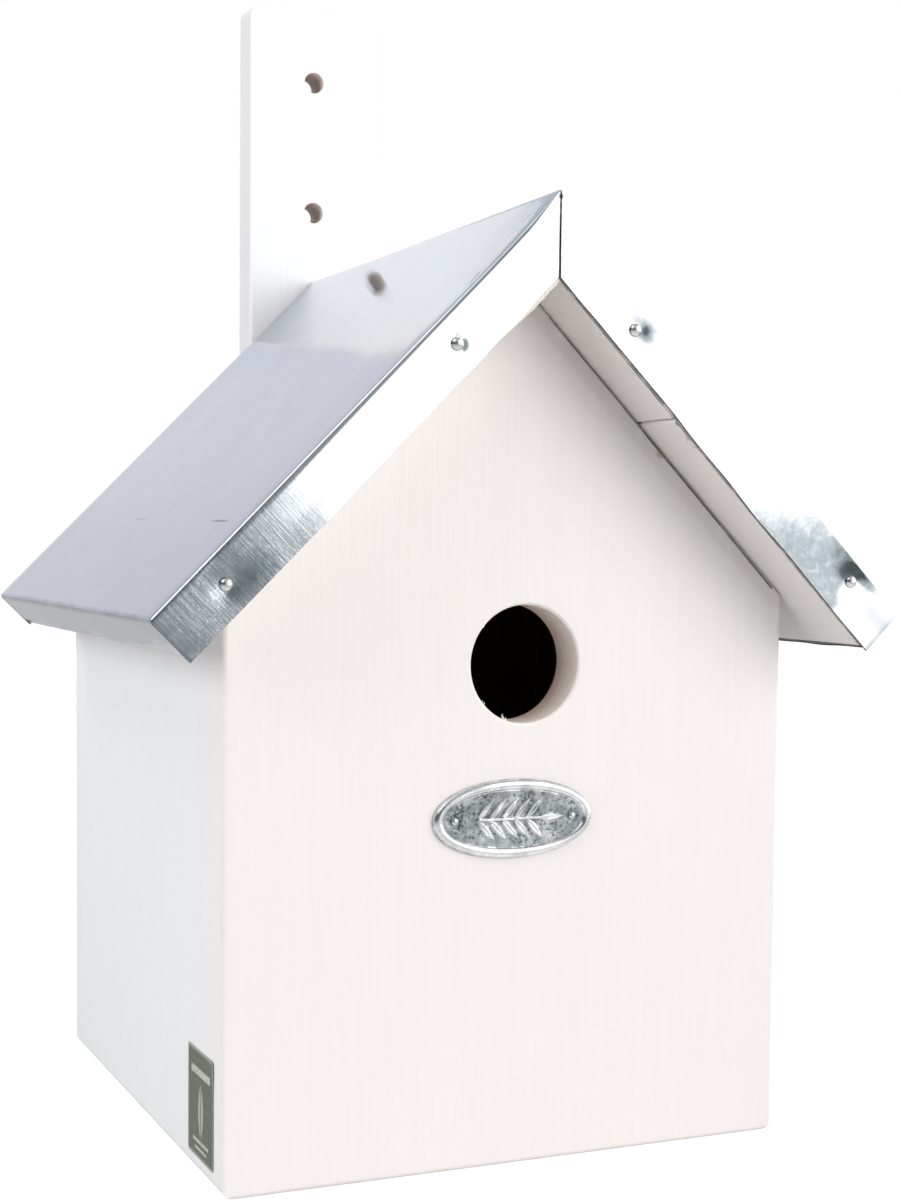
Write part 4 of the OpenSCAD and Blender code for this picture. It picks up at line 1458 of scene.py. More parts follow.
        # the ridge is a little higher at the front, and the slopes sag between their nails
        ahead = np.clip((20 * MM - y) / (123 * MM), 0.0, 1.0)
        rise = self.ridge_rise * ahead * np.exp(-np.clip(s, 0.0, None) / (9 * MM))
        s, t = s - rise, t - rise
        down = np.minimum(s, self.roof.slope_l - s)
        along = np.minimum(y - self.roof.front_y, self.roof.back_y - y)
        calm = smooth_step(np.minimum(down, along), 1 * MM, 16 * MM)
        swell = 0.10 * MM + 0.08 * MM * waves(s, y, seed + 3, 70 * MM)
        swell = swell + 0.006 * MM * waves(s, y, seed + 4, 18 * MM)
        t = t + np.where(t < self.fold_r, calm * swell, 0.0)
        return s, t, y

    def _eave_lip(
        self, side: Side, cols: np.ndarray, s: np.ndarray, y: np.ndarray, grid: np.ndarray
    ) -> tuple[np.ndarray, np.ndarray, np.ndarray]:
        """Builds the eave's flange under the slope's last row.

        Args:
            side: which slope.
            cols: the columns.
            s: distance down the slope of each grid point.
            y: place along the ridge of each grid point.
            grid: the numbers of the grid's corners.

        Returns:
            The new corners, the grid that faces are made from, and the unrolled places.
        """
        front, back, r = self.roof.front_y, self.roof.back_y, self.fold_r
        flat = np.where((cols[:, 0] >= front + r - 1e-7) & (cols[:, 0] <= back - r + 1e-7))[0]
        y_row = y[-1, flat]
        height = np.full(len(flat), self.eave_h[side])
        if side is Side.LEFT:
            along = np.clip((y_row - self.roof.front_y) / self.trim_l, 0, 1)
            height = self.trim_h + (height - self.trim_h) * along
            height = height - 0.7 * MM * smooth_step(y_row, 0.0, self.roof.back_y)
        height = height + waves(y_row, np.zeros_like(y_row), 21 + side.value, 25 * MM) * 0.2 * MM
        steps = np.linspace(0, 1, self.eave_steps)[1:]
        depth = self.fold_r + steps[:, None] * (height - self.fold_r)[None, :]
        bow = 1 + waves(y_row, np.zeros_like(y_row), 31 + side.value, 45 * MM)
        in_by = 0.25 * MM * steps[:, None] ** 2 * bow[None, :]
        s_lip = s[-1, flat][None, :] - in_by
        y_lip = np.broadcast_to(y_row, depth.shape)
        lip = np.stack([s_lip, y_lip, depth], axis=-1).reshape(-1, 3)
        numbers = grid.size + np.arange(depth.size).reshape(depth.shape)
        lip_map = np.stack([self.roof.slope_l + depth, y_lip], axis=-1).reshape(-1, 2)
        return lip, np.vstack([grid[-1, flat], numbers]), lip_map

    def _quads(self, grid: np.ndarray) -> list[tuple[int, ...]]:
        """Gives the faces between the rows and columns of a grid of corner numbers."""
        a, b, c, d = grid[:-1, :-1], grid[1:, :-1], grid[1:, 1:], grid[:-1, 1:]
        return [tuple(q) for q in np.stack([a, b, c, d], axis=-1).reshape(-1, 4).tolist()]


def mark_points(name: str, places: Sequence[Sequence[float]], ways: np.ndarray) -> Piece:
    """Makes an object of loose points that know the way they face.

    Args:
        name: the object's name.
        places: the points.
        ways: the way that each one faces.

    Returns:
        The object, linked to the scene.
    """
    mesh = bpy.data.meshes.new(name)
    mesh.from_pydata([Vector(p) for p in places], [], [])
    way = mesh.attributes.new("facing", "FLOAT_VECTOR", "POINT")
    way.data.foreach_set("vector", ways.astype(np.float32).ravel())
    made = bpy.data.objects.new(name, mesh)
    bpy.context.scene.collection.objects.link(made)
    return made


def faced(g: Graph) -> Socket:
    """Adds the turn that brings Z onto the way that a point faces.

    Args:
        g: the geometry tree's graph.

    Returns:
        The rotation's socket.
    """
    facing = g.node("GeometryNodeInputNamedAttribute", data_type="FLOAT_VECTOR")
    facing.inputs["Name"].default_value = "facing"
    turn = g.node("FunctionNodeAlignRotationToVector", axis="Z")
    g.feed(turn.inputs["Vector"], facing.outputs[0])
    return turn.outputs[0]


def set_on_points(g: Graph, shape: Feed, turn: Feed, scale: Feed = None) -> None:
    """Ends a tree: a shape on every point it is given, made real and coated.

    Args:
        g: the geometry tree's graph.
        shape: the shape.
        turn: its rotation on each point.
        scale: its scale on each point, if it isn't 1.
    """
    given, put = g.node("NodeGroupInput"), g.node("NodeGroupOutput")
    spread = g.node("GeometryNodeInstanceOnPoints")
    g.feed(spread.inputs["Points"], given.outputs["Geometry"])
    g.feed(spread.inputs["Instance"], shape)
    g.feed(spread.inputs["Rotation"], turn)
    g.feed(spread.inputs["Scale"], scale)
    real = g.node("GeometryNodeRealizeInstances")
    g.feed(real.inputs[0], spread.outputs[0])
    coat = g.node("GeometryNodeSetMaterial")
    g.feed(coat.inputs["Geometry"], real.outputs[0])
    g.feed(coat.inputs["Material"], given.outputs["Finish"])
    g.feed(put.inputs[0], coat.outputs[0])


class HeadTree:
    """The Geometry Nodes tree that sets a hammered, domed head on every point it is given."""

    def __init__(self) -> None:
        """Builds the tree."""
        tree = bpy.data.node_groups.new("domed_heads", "GeometryNodeTree")
        self.tree = tree
        self.sockets: dict[str, str] = {}
        face = tree.interface
        face.new_socket("Geometry", in_out="INPUT", socket_type="NodeSocketGeometry")
        for name, kind, value in (
            ("Radius", "NodeSocketFloat", 0.00175),
            ("Height", "NodeSocketFloat", 0.0013),
            ("Unevenness", "NodeSocketFloat", 0.06),
            ("Finish", "NodeSocketMaterial", None),
        ):
            made = face.new_socket(name, in_out="INPUT", socket_type=kind)
            if value is not None:
                made.default_value = value
            self.sockets[name] = made.identifier
        face.new_socket("Geometry", in_out="OUTPUT", socket_type="NodeSocketGeometry")
        self._fill(Graph(tree))

    def _fill(self, g: Graph) -> None:
        """Adds the tree's nodes.

        Args:
            g: the tree's graph.
        """
        given = g.node("NodeGroupInput")
        ball = g.node("GeometryNodeMeshUVSphere")
        ball.inputs["Segments"].default_value = 40
        ball.inputs["Rings"].default_value = 24
        ball.inputs["Radius"].default_value = 1.0
        place = g.node("GeometryNodeInputPosition").outputs[0]
        x, y, z = g.parts(place)
        upper = g.times(g.math("MAXIMUM", z, 0.0), given.outputs["Height"])
        under = g.times(g.math("MINIMUM", z, 0.0), g.times(given.outputs["Height"], 0.45))
        wave = g.noise(place, 2.6, 2.0)
        uneven = g.plus(1.0, g.times(g.minus(wave, 0.5), given.outputs["Unevenness"]))
        flat_x = g.times(g.times(x, given.outputs["Radius"]), uneven)
        flat_y = g.times(g.times(y, given.outputs["Radius"]), uneven)
        height = g.times(g.plus(upper, under), uneven)
        shape = g.node("GeometryNodeSetPosition")
        g.feed(shape.inputs["Geometry"], ball.outputs["Mesh"])
        g.feed(shape.inputs["Position"], g.join(flat_x, flat_y, height))
        spin = g.node("FunctionNodeRandomValue", data_type="FLOAT")
        spin.inputs[3].default_value = 6.28
        spin.inputs["Seed"].default_value = 5
        roll = g.node("FunctionNodeAxisAngleToRotation")
        roll.inputs["Axis"].default_value = (0.0, 0.0, 1.0)
        g.feed(roll.inputs["Angle"], spin.outputs[1])
        both = g.node("FunctionNodeRotateRotation", rotation_space="LOCAL")
        g.feed(both.inputs[0], faced(g))
        g.feed(both.inputs[1], roll.outputs[0])
        set_on_points(g, shape.outputs[0], both.outputs[0])


@dataclass
class Fasteners:
    """A set of alike fasteners with domed heads that show."""

    name: str
    places: tuple[Point, ...]
    facing: Facing
    nodes: tuple[str, ...]
    finish: Material
    radius: float
    height: float
    shank_r: float
    shank_l: float

    def build(self, tree: HeadTree) -> Piece:
        """Builds the heads with the tree, adds the shanks and hands the set over.

        Args:
            tree: the tree that makes the heads.

        Returns:
            The set's object.
        """
        piece = mark_points(self.name, self.places, np.tile(self.facing.value, len(self.places)))
        heads = piece.modifiers.new("heads", "NODES")
        heads.node_group = tree.tree
        heads[tree.sockets["Radius"]] = self.radius
        heads[tree.sockets["Height"]] = self.height
        heads[tree.sockets["Finish"]] = self.finish
        settle(piece)
        self._add_shanks(piece)
        soften(piece, 50)
        return hand_over(piece, "steel_nails", *self.nodes)

    def _add_shanks(self, piece: Piece, sides: int = 16) -> None:
        """Joins a closed shank to the heads' mesh for every place.

        Args:
            piece: the set's object.
            sides: how many sides a shank has.
        """
        old = piece.data
        points = [tuple(v.co) for v in old.vertices]
        faces = [tuple(p.vertices) for p in old.polygons]
        way = np.array(self.facing.value)
        for place in self.places:
            start = len(points)
            for depth in (0.05 * MM, self.shank_l - 1.5 * MM):
                for k in range(sides):
                    a = 2 * math.pi * k / sides
                    ring = np.array([math.cos(a), 0.0, math.sin(a)]) * self.shank_r
                    points.append(tuple(np.array(place) + ring - way * depth))
            points.append(tuple(np.array(place) - way * self.shank_l))
            points.append(tuple(np.array(place)))
            turn = 1 if self.facing is Facing.FRONT else -1
            for k in range(sides):
                n = (k + 1) % sides
                quad = (start + k, start + sides + k, start + sides + n, start + n)
                tip = (start + sides + k, start + 2 * sides, start + sides + n)
                cap = (start + k, start + n, start + 2 * sides + 1)
                faces += [f[::-turn] for f in (quad, tip, cap)]
        mesh = bpy.data.meshes.new(self.name)
        mesh.from_pydata(points, [], faces)
        mesh.materials.append(self.finish)
        piece.data = mesh
        bpy.data.meshes.remove(old)


@dataclass
class RimSplinters:
    """The few torn wood fibres that stand on the rim of the entrance hole, set by Geometry Nodes."""

    finish: Material
    centre: tuple[float, float] = ENTRANCE
    radius: float = 16.0 * MM
    wall_y: float = FRONT_WALL_Y
    spots: tuple[tuple[float, float], ...] = (
        (-112.0, 1.8), (-113.8, 1.3), (-110.0, 0.9), (-139.0, 0.6), (-142.0, 0.4), (140.0, 0.5),
    )

    def build(self) -> Piece:
        """Builds the fibres and hands them over.

        Returns:
            Their object.
        """
        places, ways, sizes = [], [], []
        middle = Vector((self.centre[0], self.wall_y, self.centre[1]))
        for degrees, size in self.spots:
            a = math.radians(degrees)
            out = Vector((math.cos(a), 0.0, math.sin(a)))
            places.append(middle + out * self.radius + Vector((0.0, 0.35 * MM, 0.0)))
            ways.append(tuple((-out * 0.7 + Vector((-0.75, -0.08, 0.1))).normalized()))
            sizes.append(size * MM)
        piece = mark_points("rim_splinters", places, np.array(ways))
        lengths = piece.data.attributes.new("length", "FLOAT", "POINT")
        lengths.data.foreach_set("value", np.array(sizes, np.float32))
        tree = bpy.data.node_groups.new("torn_fibres", "GeometryNodeTree")
        sockets = self._fill(tree)
        live = piece.modifiers.new("fibres", "NODES")
        live.node_group = tree
        live[sockets["Thickness"]] = 0.24 * MM
        live[sockets["Seed"]] = 11
        live[sockets["Finish"]] = self.finish
        settle(piece)
        soften(piece, 60)
        return hand_over(piece, "painted_wood")

    def _fill(self, tree: Tree) -> dict[str, str]:
        """Adds the tree's sockets and nodes.

        Args:
            tree: the empty tree.

        Returns:
            Each named input's identifier.
        """
        face, sockets = tree.interface, {}
        face.new_socket("Geometry", in_out="INPUT", socket_type="NodeSocketGeometry")
        for name, kind in (
            ("Thickness", "NodeSocketFloat"), ("Seed", "NodeSocketInt"), ("Finish", "NodeSocketMaterial")
        ):
            sockets[name] = face.new_socket(name, in_out="INPUT", socket_type=kind).identifier
        face.new_socket("Geometry", in_out="OUTPUT", socket_type="NodeSocketGeometry")
        g = Graph(tree)
        given = g.node("NodeGroupInput")
        cone = g.node("GeometryNodeMeshCone")
        cone.inputs["Vertices"].default_value = 8
        cone.inputs["Side Segments"].default_value = 5
        cone.inputs["Radius Bottom"].default_value = 1.0
        cone.inputs["Radius Top"].default_value = 0.12
        cone.inputs["Depth"].default_value = 1.0
        x, y, z = g.parts(g.node("GeometryNodeInputPosition").outputs[0])
        bend = g.times(g.times(z, z), 1.8)
        shape = g.node("GeometryNodeSetPosition")
        g.feed(shape.inputs["Geometry"], cone.outputs["Mesh"])
        g.feed(shape.inputs["Position"], g.join(g.plus(x, bend), g.times(y, 0.6), z))
        length = g.node("GeometryNodeInputNamedAttribute", data_type="FLOAT")
        length.inputs["Name"].default_value = "length"
        thick = g.node("FunctionNodeRandomValue", data_type="FLOAT")
        thick.inputs[2].default_value, thick.inputs[3].default_value = 0.6, 1.0
        g.feed(thick.inputs["Seed"], given.outputs["Seed"])
        wide = g.times(thick.outputs[1], given.outputs["Thickness"])
        set_on_points(g, shape.outputs[0], faced(g), g.join(wide, wide, length.outputs[0]))
        return sockets


@dataclass
class PaintRidge:
    """The uneven lip of paint and torn wood that hangs under the left flange by the ridge."""

    finish: Material
    roof: Roof = Roof()
    start: float = 15.2 * MM
    end: float = 46.0 * MM
    top: float = 14.2 * MM
    drop: float = 1.75 * MM
    front: float = -102.1 * MM
    depth: float = 1.3 * MM
    steps: int = 70

    def build(self) -> Piece:
        """Builds the lip as a closed ribbon and hands it over.

        Returns:
            The lip's object.
        """
        s = np.linspace(self.start, self.end, self.steps)
        flat = np.zeros_like(s)
        fade = 1 - smooth_step(s, 26 * MM, self.end)
        ragged = waves(s, flat, 61, 5 * MM) * 0.14 * MM
        low = self.top + 0.25 * MM + self.drop * (0.25 + 0.75 * fade) + ragged
        back = self.front + self.depth + waves(s, flat, 62, 7 * MM) * 0.15 * MM
        top, front = flat + self.top, flat + self.front
        ring = [
            (top, front), (low - 0.3 * MM, front), (low, front + 0.4 * MM), (low - 0.2 * MM, back),
            (top, back),
        ]
        points = [self.roof.place(Side.LEFT, s[i], y[i], t[i]) for i in range(self.steps) for t, y in ring]
        n = len(ring)
        faces = [
            (i * n + k, i * n + (k + 1) % n, (i + 1) * n + (k + 1) % n, (i + 1) * n + k)
            for i in range(self.steps - 1) for k in range(n)
        ]
        faces += [tuple(range(n))[::-1], tuple((self.steps - 1) * n + k for k in range(n))]
        piece = make_object("ridge_paint_lip", np.array(points), faces, self.finish)
        soften(piece, 50)
        return hand_over(piece, "painted_wood")


@dataclass
class OvalPlate:
    """The pressed plate: a rounded rim round a sunk field with a sprig of leaves."""

    finish: Material
    x: float = -1.4 * MM
    z: float = PLATE_Z
    wall_y: float = FRONT_WALL_Y
    width: float = 47.5 * MM
    height: float = 21.5 * MM
    fullness: float = 2.04
    inner_fullness: float = 2.12
    rim_w: float = 3.2 * MM
    rim_h: float = 1.65 * MM
    field_h: float = 0.8 * MM
    stem_l: float = 22.0 * MM
    leaf_l: float = 7.5 * MM
    leaf_w: float = 2.6 * MM
    leaf_turn: float = math.radians(48)
    leaf_h: float = 0.42 * MM
    pin_pitch: float = 35.0 * MM
    around: int = 300
    rings: int = 46
    rim_rings: int = 14

    def build(self) -> Piece:
        """Builds the plate and hands it over.

        Returns:
            The plate's object.
        """
        edge = self._outline(self.width, self.height, self.fullness)
        inner_share = np.linspace(0, 1, self.rings + 1)[1:]
        inner = self._outline(
            self.width - 2 * self.rim_w, self.height - 2 * self.rim_w, self.inner_fullness
        )
        flat = [inner * k for k in inner_share]
        rim = [inner + (edge - inner) * k for k in np.linspace(0, 1, self.rim_rings + 1)[1:]]
        rings = flat + rim
        points, relief = [(0.0, 0.0, self.field_h)], [0.3]
        for i, ring in enumerate(rings):
            k = max(0.0, (i - len(flat) + 1) / self.rim_rings)
            up, bright = self._surface(ring, k)
            points += [(a, b, h) for (a, b), h in zip(ring, up)]
            relief += list(bright)
        n = self.around
        faces = [(0, 1 + k, 1 + (k + 1) % n) for k in range(n)]
        for i in range(len(rings) - 1):
            a, b = 1 + i * n, 1 + (i + 1) * n
            faces += [(a + k, b + k, b + (k + 1) % n, a + (k + 1) % n) for k in range(n)]
        last = 1 + (len(rings) - 1) * n
        base = len(points)
        points += [(a, b, 0.0) for a, b in rings[-1]]
        relief += [0.4] * n
        points.append((0.0, 0.0, 0.0))
        relief.append(0.3)
        faces += [(last + k, base + k, base + (k + 1) % n, last + (k + 1) % n) for k in range(n)]
        faces += [(base + (k + 1) % n, base + k, base + n) for k in range(n)]
        placed = [(self.x + a, self.wall_y - h, self.z + b) for a, b, h in points]
        piece = make_object("oval_plate_pressed", np.array(placed), faces, self.finish)
        share = piece.data.attributes.new("relief", "FLOAT", "POINT")
        share.data.foreach_set("value", np.array(relief, np.float32))
        soften(piece, 60)
        return hand_over(piece, "galvanised_plate", "oval_plate")

    def _outline(self, width: float, height: float, fullness: float) -> np.ndarray:
        """Gives an oval outline, a little fuller than an ellipse.

        Args:
            width: the oval's width.
            height: its height.
            fullness: how full it is, where 2 is an ellipse.

        Returns:
            Its points, evenly spaced in angle round the middle.
        """
        a = np.linspace(0, 2 * math.pi, self.around, endpoint=False)
        x, z = np.cos(a), np.sin(a)
        power = 2 / fullness
        across = np.sign(x) * np.abs(x) ** power * width / 2
        upright = np.sign(z) * np.abs(z) ** power * height / 2
        return np.stack([across, upright], -1)

    def _surface(self, ring: np.ndarray, k: float) -> tuple[np.ndarray, np.ndarray]:
        """Gives the height and brightness of one ring.

        Args:
            ring: its points on the plate.
            k: how far it is across the rim, 0 in the field and 1 at the outer edge.

        Returns:
            The heights and how bright the metal is there.
        """
        if k > 0:
            half = 2 * k - 1
            bead = math.sqrt(max(0.0, 1 - half * half)) * self.rim_h
            floor = self.field_h if k < 0.5 else 0.35 * MM
            up = np.full(len(ring), max(bead, floor))
            up = up + waves(ring[:, 0], ring[:, 1], 44, 9 * MM) * 0.03 * MM
            return up, np.full(len(ring), 0.55 + 0.45 * min(1.0, bead / self.rim_h))
        leaves = self._leaves(ring)
        outward = np.hypot(ring[:, 0] / self.width * 2.3, ring[:, 1] / self.height * 2.3)
        dish = 0.12 * MM * smooth_step(outward, 0.5, 1.0)
        rough = waves(ring[:, 0], ring[:, 1], 41, 3.0 * MM) * 0.035 * MM
        bright = 0.16 + 0.84 * leaves + 0.10 * smooth_step(ring[:, 0], -15 * MM, 5 * MM)
        for sign in (-1, 1):
            far = np.hypot(ring[:, 0] - sign * self.pin_pitch / 2, ring[:, 1])
            near = 1 - smooth_step(far, 1.3 * MM, 2.3 * MM)
            bright = bright - 0.6 * near
            rough = rough - 0.25 * MM * near
        return self.field_h + leaves * self.leaf_h + dish + rough, bright

    def _leaves(self, at: np.ndarray) -> np.ndarray:
        """Gives how high the sprig stands at each point, from 0 to 1.

        Args:
            at: the points on the plate.

        Returns:
            The height at each point.
        """
        stem = 1 - smooth_step(np.abs(at[:, 1]), 0.25 * MM, 0.6 * MM)
        stem = stem * (1 - smooth_step(np.abs(at[:, 0]), self.stem_l / 2 - 0.5 * MM, self.stem_l / 2))
        total = stem
        starts = np.linspace(-self.stem_l / 2, self.stem_l / 2 - self.leaf_l, 5)
        spots = [(s, turn) for s in starts for turn in (self.leaf_turn, -self.leaf_turn)]
        spots.append((self.stem_l / 2 - self.leaf_l / 2, 0.0))
        for start, turn in spots:
            dx, dz = at[:, 0] - start, at[:, 1]
            along = dx * math.cos(turn) + dz * math.sin(turn)
            across = -dx * math.sin(turn) + dz * math.cos(turn)
            share = np.clip(along / self.leaf_l, 0, 1)
            half = self.leaf_w / 2 * np.sin(np.pi * share**0.8)
            body = 1 - smooth_step(np.abs(across), 0.35 * half, np.maximum(half, 1e-6))
            body = np.where((along > 0) & (along < self.leaf_l), body, 0.0)
            vein = 0.35 * (1 - smooth_step(np.abs(across), 0.1 * MM, 0.35 * MM))
            total = np.maximum(total, np.clip(body - vein * body, 0, 1))
        return total


@dataclass
class SideLabel:
    """The small printed label on the left wall, with one corner that has begun to lift."""

    finish: Material
    wall_x: float = -83.0 * MM
    front: float = -75.6 * MM
    back: float = -52.4 * MM
    low: float = 5.4 * MM
    high: float = 34.6 * MM
    thickness: float = 0.15 * MM
    corner: float = 1.2 * MM
    steps: int = 30

    def build(self) -> Piece:
        """Builds the label and hands it over.

        Returns:
            The label's object.
        """
        n = self.steps
        points, uv = [], []
        for skin in (0, 1):
            for i in range(n + 1):
                for j in range(n + 1):
                    a, b = self._rounded(i / n * 2 - 1, j / n * 2 - 1)
                    u, v = (a + 1) / 2, (b + 1) / 2
                    lift = 0.35 * MM * max(0.0, u + v - 1.72) / 0.28
                    out = (self.thickness if skin else 0.0) + lift
                    y = self.back + (self.front - self.back) * u
                    points.append((self.wall_x - out, y, self.low + (self.high - self.low) * v))
                    uv.append((u, v))
        grid = np.arange((n + 1) ** 2).reshape(n + 1, n + 1)
        top = grid + (n + 1) ** 2
        faces = []
        for i in range(n):
            for j in range(n):
                faces.append((top[i, j], top[i + 1, j], top[i + 1, j + 1], top[i, j + 1]))
                faces.append((grid[i, j + 1], grid[i + 1, j + 1], grid[i + 1, j], grid[i, j]))
        rim = list(grid[0, :]) + list(grid[1:, -1]) + list(grid[-1, -2::-1]) + list(grid[-2:0:-1, 0])
        for k, a in enumerate(rim):
            b = rim[(k + 1) % len(rim)]
            faces.append((a, b, b + (n + 1) ** 2, a + (n + 1) ** 2))
        piece = make_object("side_label", np.array(points), faces, self.finish)
        layer = piece.data.uv_layers.new(name="face")
        for loop in piece.data.loops:
            layer.data[loop.index].uv = uv[loop.vertex_index]
        soften(piece, 40)
        return hand_over(piece, "painted_wood")

    def _rounded(self, a: float, b: float) -> tuple[float, float]:
        """Moves a point of a square from -1 to 1 so that the square's corners are round.

        Args:
            a: its first coordinate.
            b: its second coordinate.

        Returns:
            The moved point.
        """
        r = self.corner / ((self.high - self.low) / 2)
        over_a, over_b = abs(a) - (1 - r), abs(b) - (1 - r)
        if over_a <= 0 or over_b <= 0:
            return a, b
        far, most = math.hypot(over_a, over_b), max(over_a, over_b)
        scale = most / far if far else 1.0
        return math.copysign(1 - r + over_a * scale, a), math.copysign(1 - r + over_b * scale, b)


@dataclass
class Woodwork:
    """The walls, boards and planks: CAD nodes that get their finishes."""

    nodes: dict[str, Piece]

    def dress(self, name: str, finish: Material) -> None:
        """Gives one CAD node its finish.

        Args:
            name: the node's name.
            finish: its material.
        """
        piece = self.nodes[name]
        if not piece.material_slots:
            piece.data.materials.append(finish)
        for slot in piece.material_slots:
            slot.material = finish
        LOG.info("%s: dressed in %s", name, finish.name)


@dataclass(frozen=True)
class PhotoCamera:
    """The camera that stands where the photograph was taken from."""

    place: Point = (-0.22505, -0.53924, 0.17059)
    yaw: float = math.radians(22.8215)
    pitch: float = math.radians(-3.3304)
    roll: float = math.radians(0.4848)
    focal: float = 1898.18
    middle: tuple[float, float] = (407.28, 646.81)
    size: tuple[int, int] = (901, 1200)

    def build(self) -> Piece:
        """Makes the camera and sets it as the scene's.

        Returns:
            The camera's object.
        """
        data = bpy.data.cameras.new("photo_camera")
        longest = max(self.size)
        data.sensor_width = 36.0
        data.lens = self.focal / longest * data.sensor_width
        data.shift_x = (self.size[0] / 2 - self.middle[0]) / longest
        data.shift_y = (self.middle[1] - self.size[1] / 2) / longest
        data.clip_start, data.clip_end = 0.01, 50.0
        level = math.cos(self.pitch)
        ahead = Vector((math.sin(self.yaw) * level, math.cos(self.yaw) * level, math.sin(self.pitch)))
        right = Vector((math.cos(self.yaw), -math.sin(self.yaw), 0.0))
        up = right.cross(ahead)
        rolled_right = right * math.cos(self.roll) + up * math.sin(self.roll)
        rolled_up = up * math.cos(self.roll) - right * math.sin(self.roll)
        camera = bpy.data.objects.new("photo_camera", data)
        turn = Matrix((rolled_right, rolled_up, -ahead)).transposed()
        camera.matrix_world = Matrix.Translation(self.place) @ turn.to_4x4()
        bpy.context.scene.collection.objects.link(camera)
        bpy.context.scene.camera = camera
        return camera


@dataclass(frozen=True)
class SoftBox:
    """A soft studio lamp, placed by its direction from the box."""

    name: str
    azimuth: float
    elevation: float
    distance: float
    width: float
    height: float
    power: float
    colour: Colour = WHITE
    aim: Point = (0.0, 0.0, 0.15)

    def build(self) -> Piece:
        """Makes the lamp, which lights the paint; the metal mirrors the surroundings instead.

        Returns:
            The lamp's object.
        """
        data = bpy.data.lights.new(self.name, "AREA")
        data.shape = "RECTANGLE"
        data.size, data.size_y = self.width, self.height
        data.energy = self.power
        data.color = self.colour
        a, e = math.radians(self.azimuth), math.radians(self.elevation)
        way = Vector((math.sin(a) * math.cos(e), -math.cos(a) * math.cos(e), math.sin(e)))
        lamp = bpy.data.objects.new(self.name, data)
        lamp.location = Vector(self.aim) + way * self.distance
        lamp.rotation_euler = way.to_track_quat("Z", "Y").to_euler()
        lamp.visible_glossy = False
        bpy.context.scene.collection.objects.link(lamp)
        return lamp


@dataclass(frozen=True)
class Patch:
    """A part of the surroundings that the metal mirrors, in degrees round and up from the front."""

    azimuth: float
    half_width: float
    elevation: float
    half_height: float
    colour: Colour
    soft: float = 2.0

    def paint(self, g: Graph, azimuth: Feed, elevation: Feed, under: Feed) -> Socket:
        """Lays the patch over what is there.

        Args:
            g: the world's graph.
            azimuth: the direction's azimuth in degrees.
            elevation: its elevation in degrees.
            under: the colour under the patch.

        Returns:
            The colour with the patch on it.
        """
        apart = g.math("ABSOLUTE", g.minus(azimuth, self.azimuth))
        across = g.span(apart, self.half_width - self.soft, self.half_width + self.soft, 1.0, 0.0)
        rise = g.math("ABSOLUTE", g.minus(elevation, self.elevation))
        along = g.span(rise, self.half_height - self.soft, self.half_height + self.soft, 1.0, 0.0)
        return g.mix(g.times(across, along), under, self.colour)


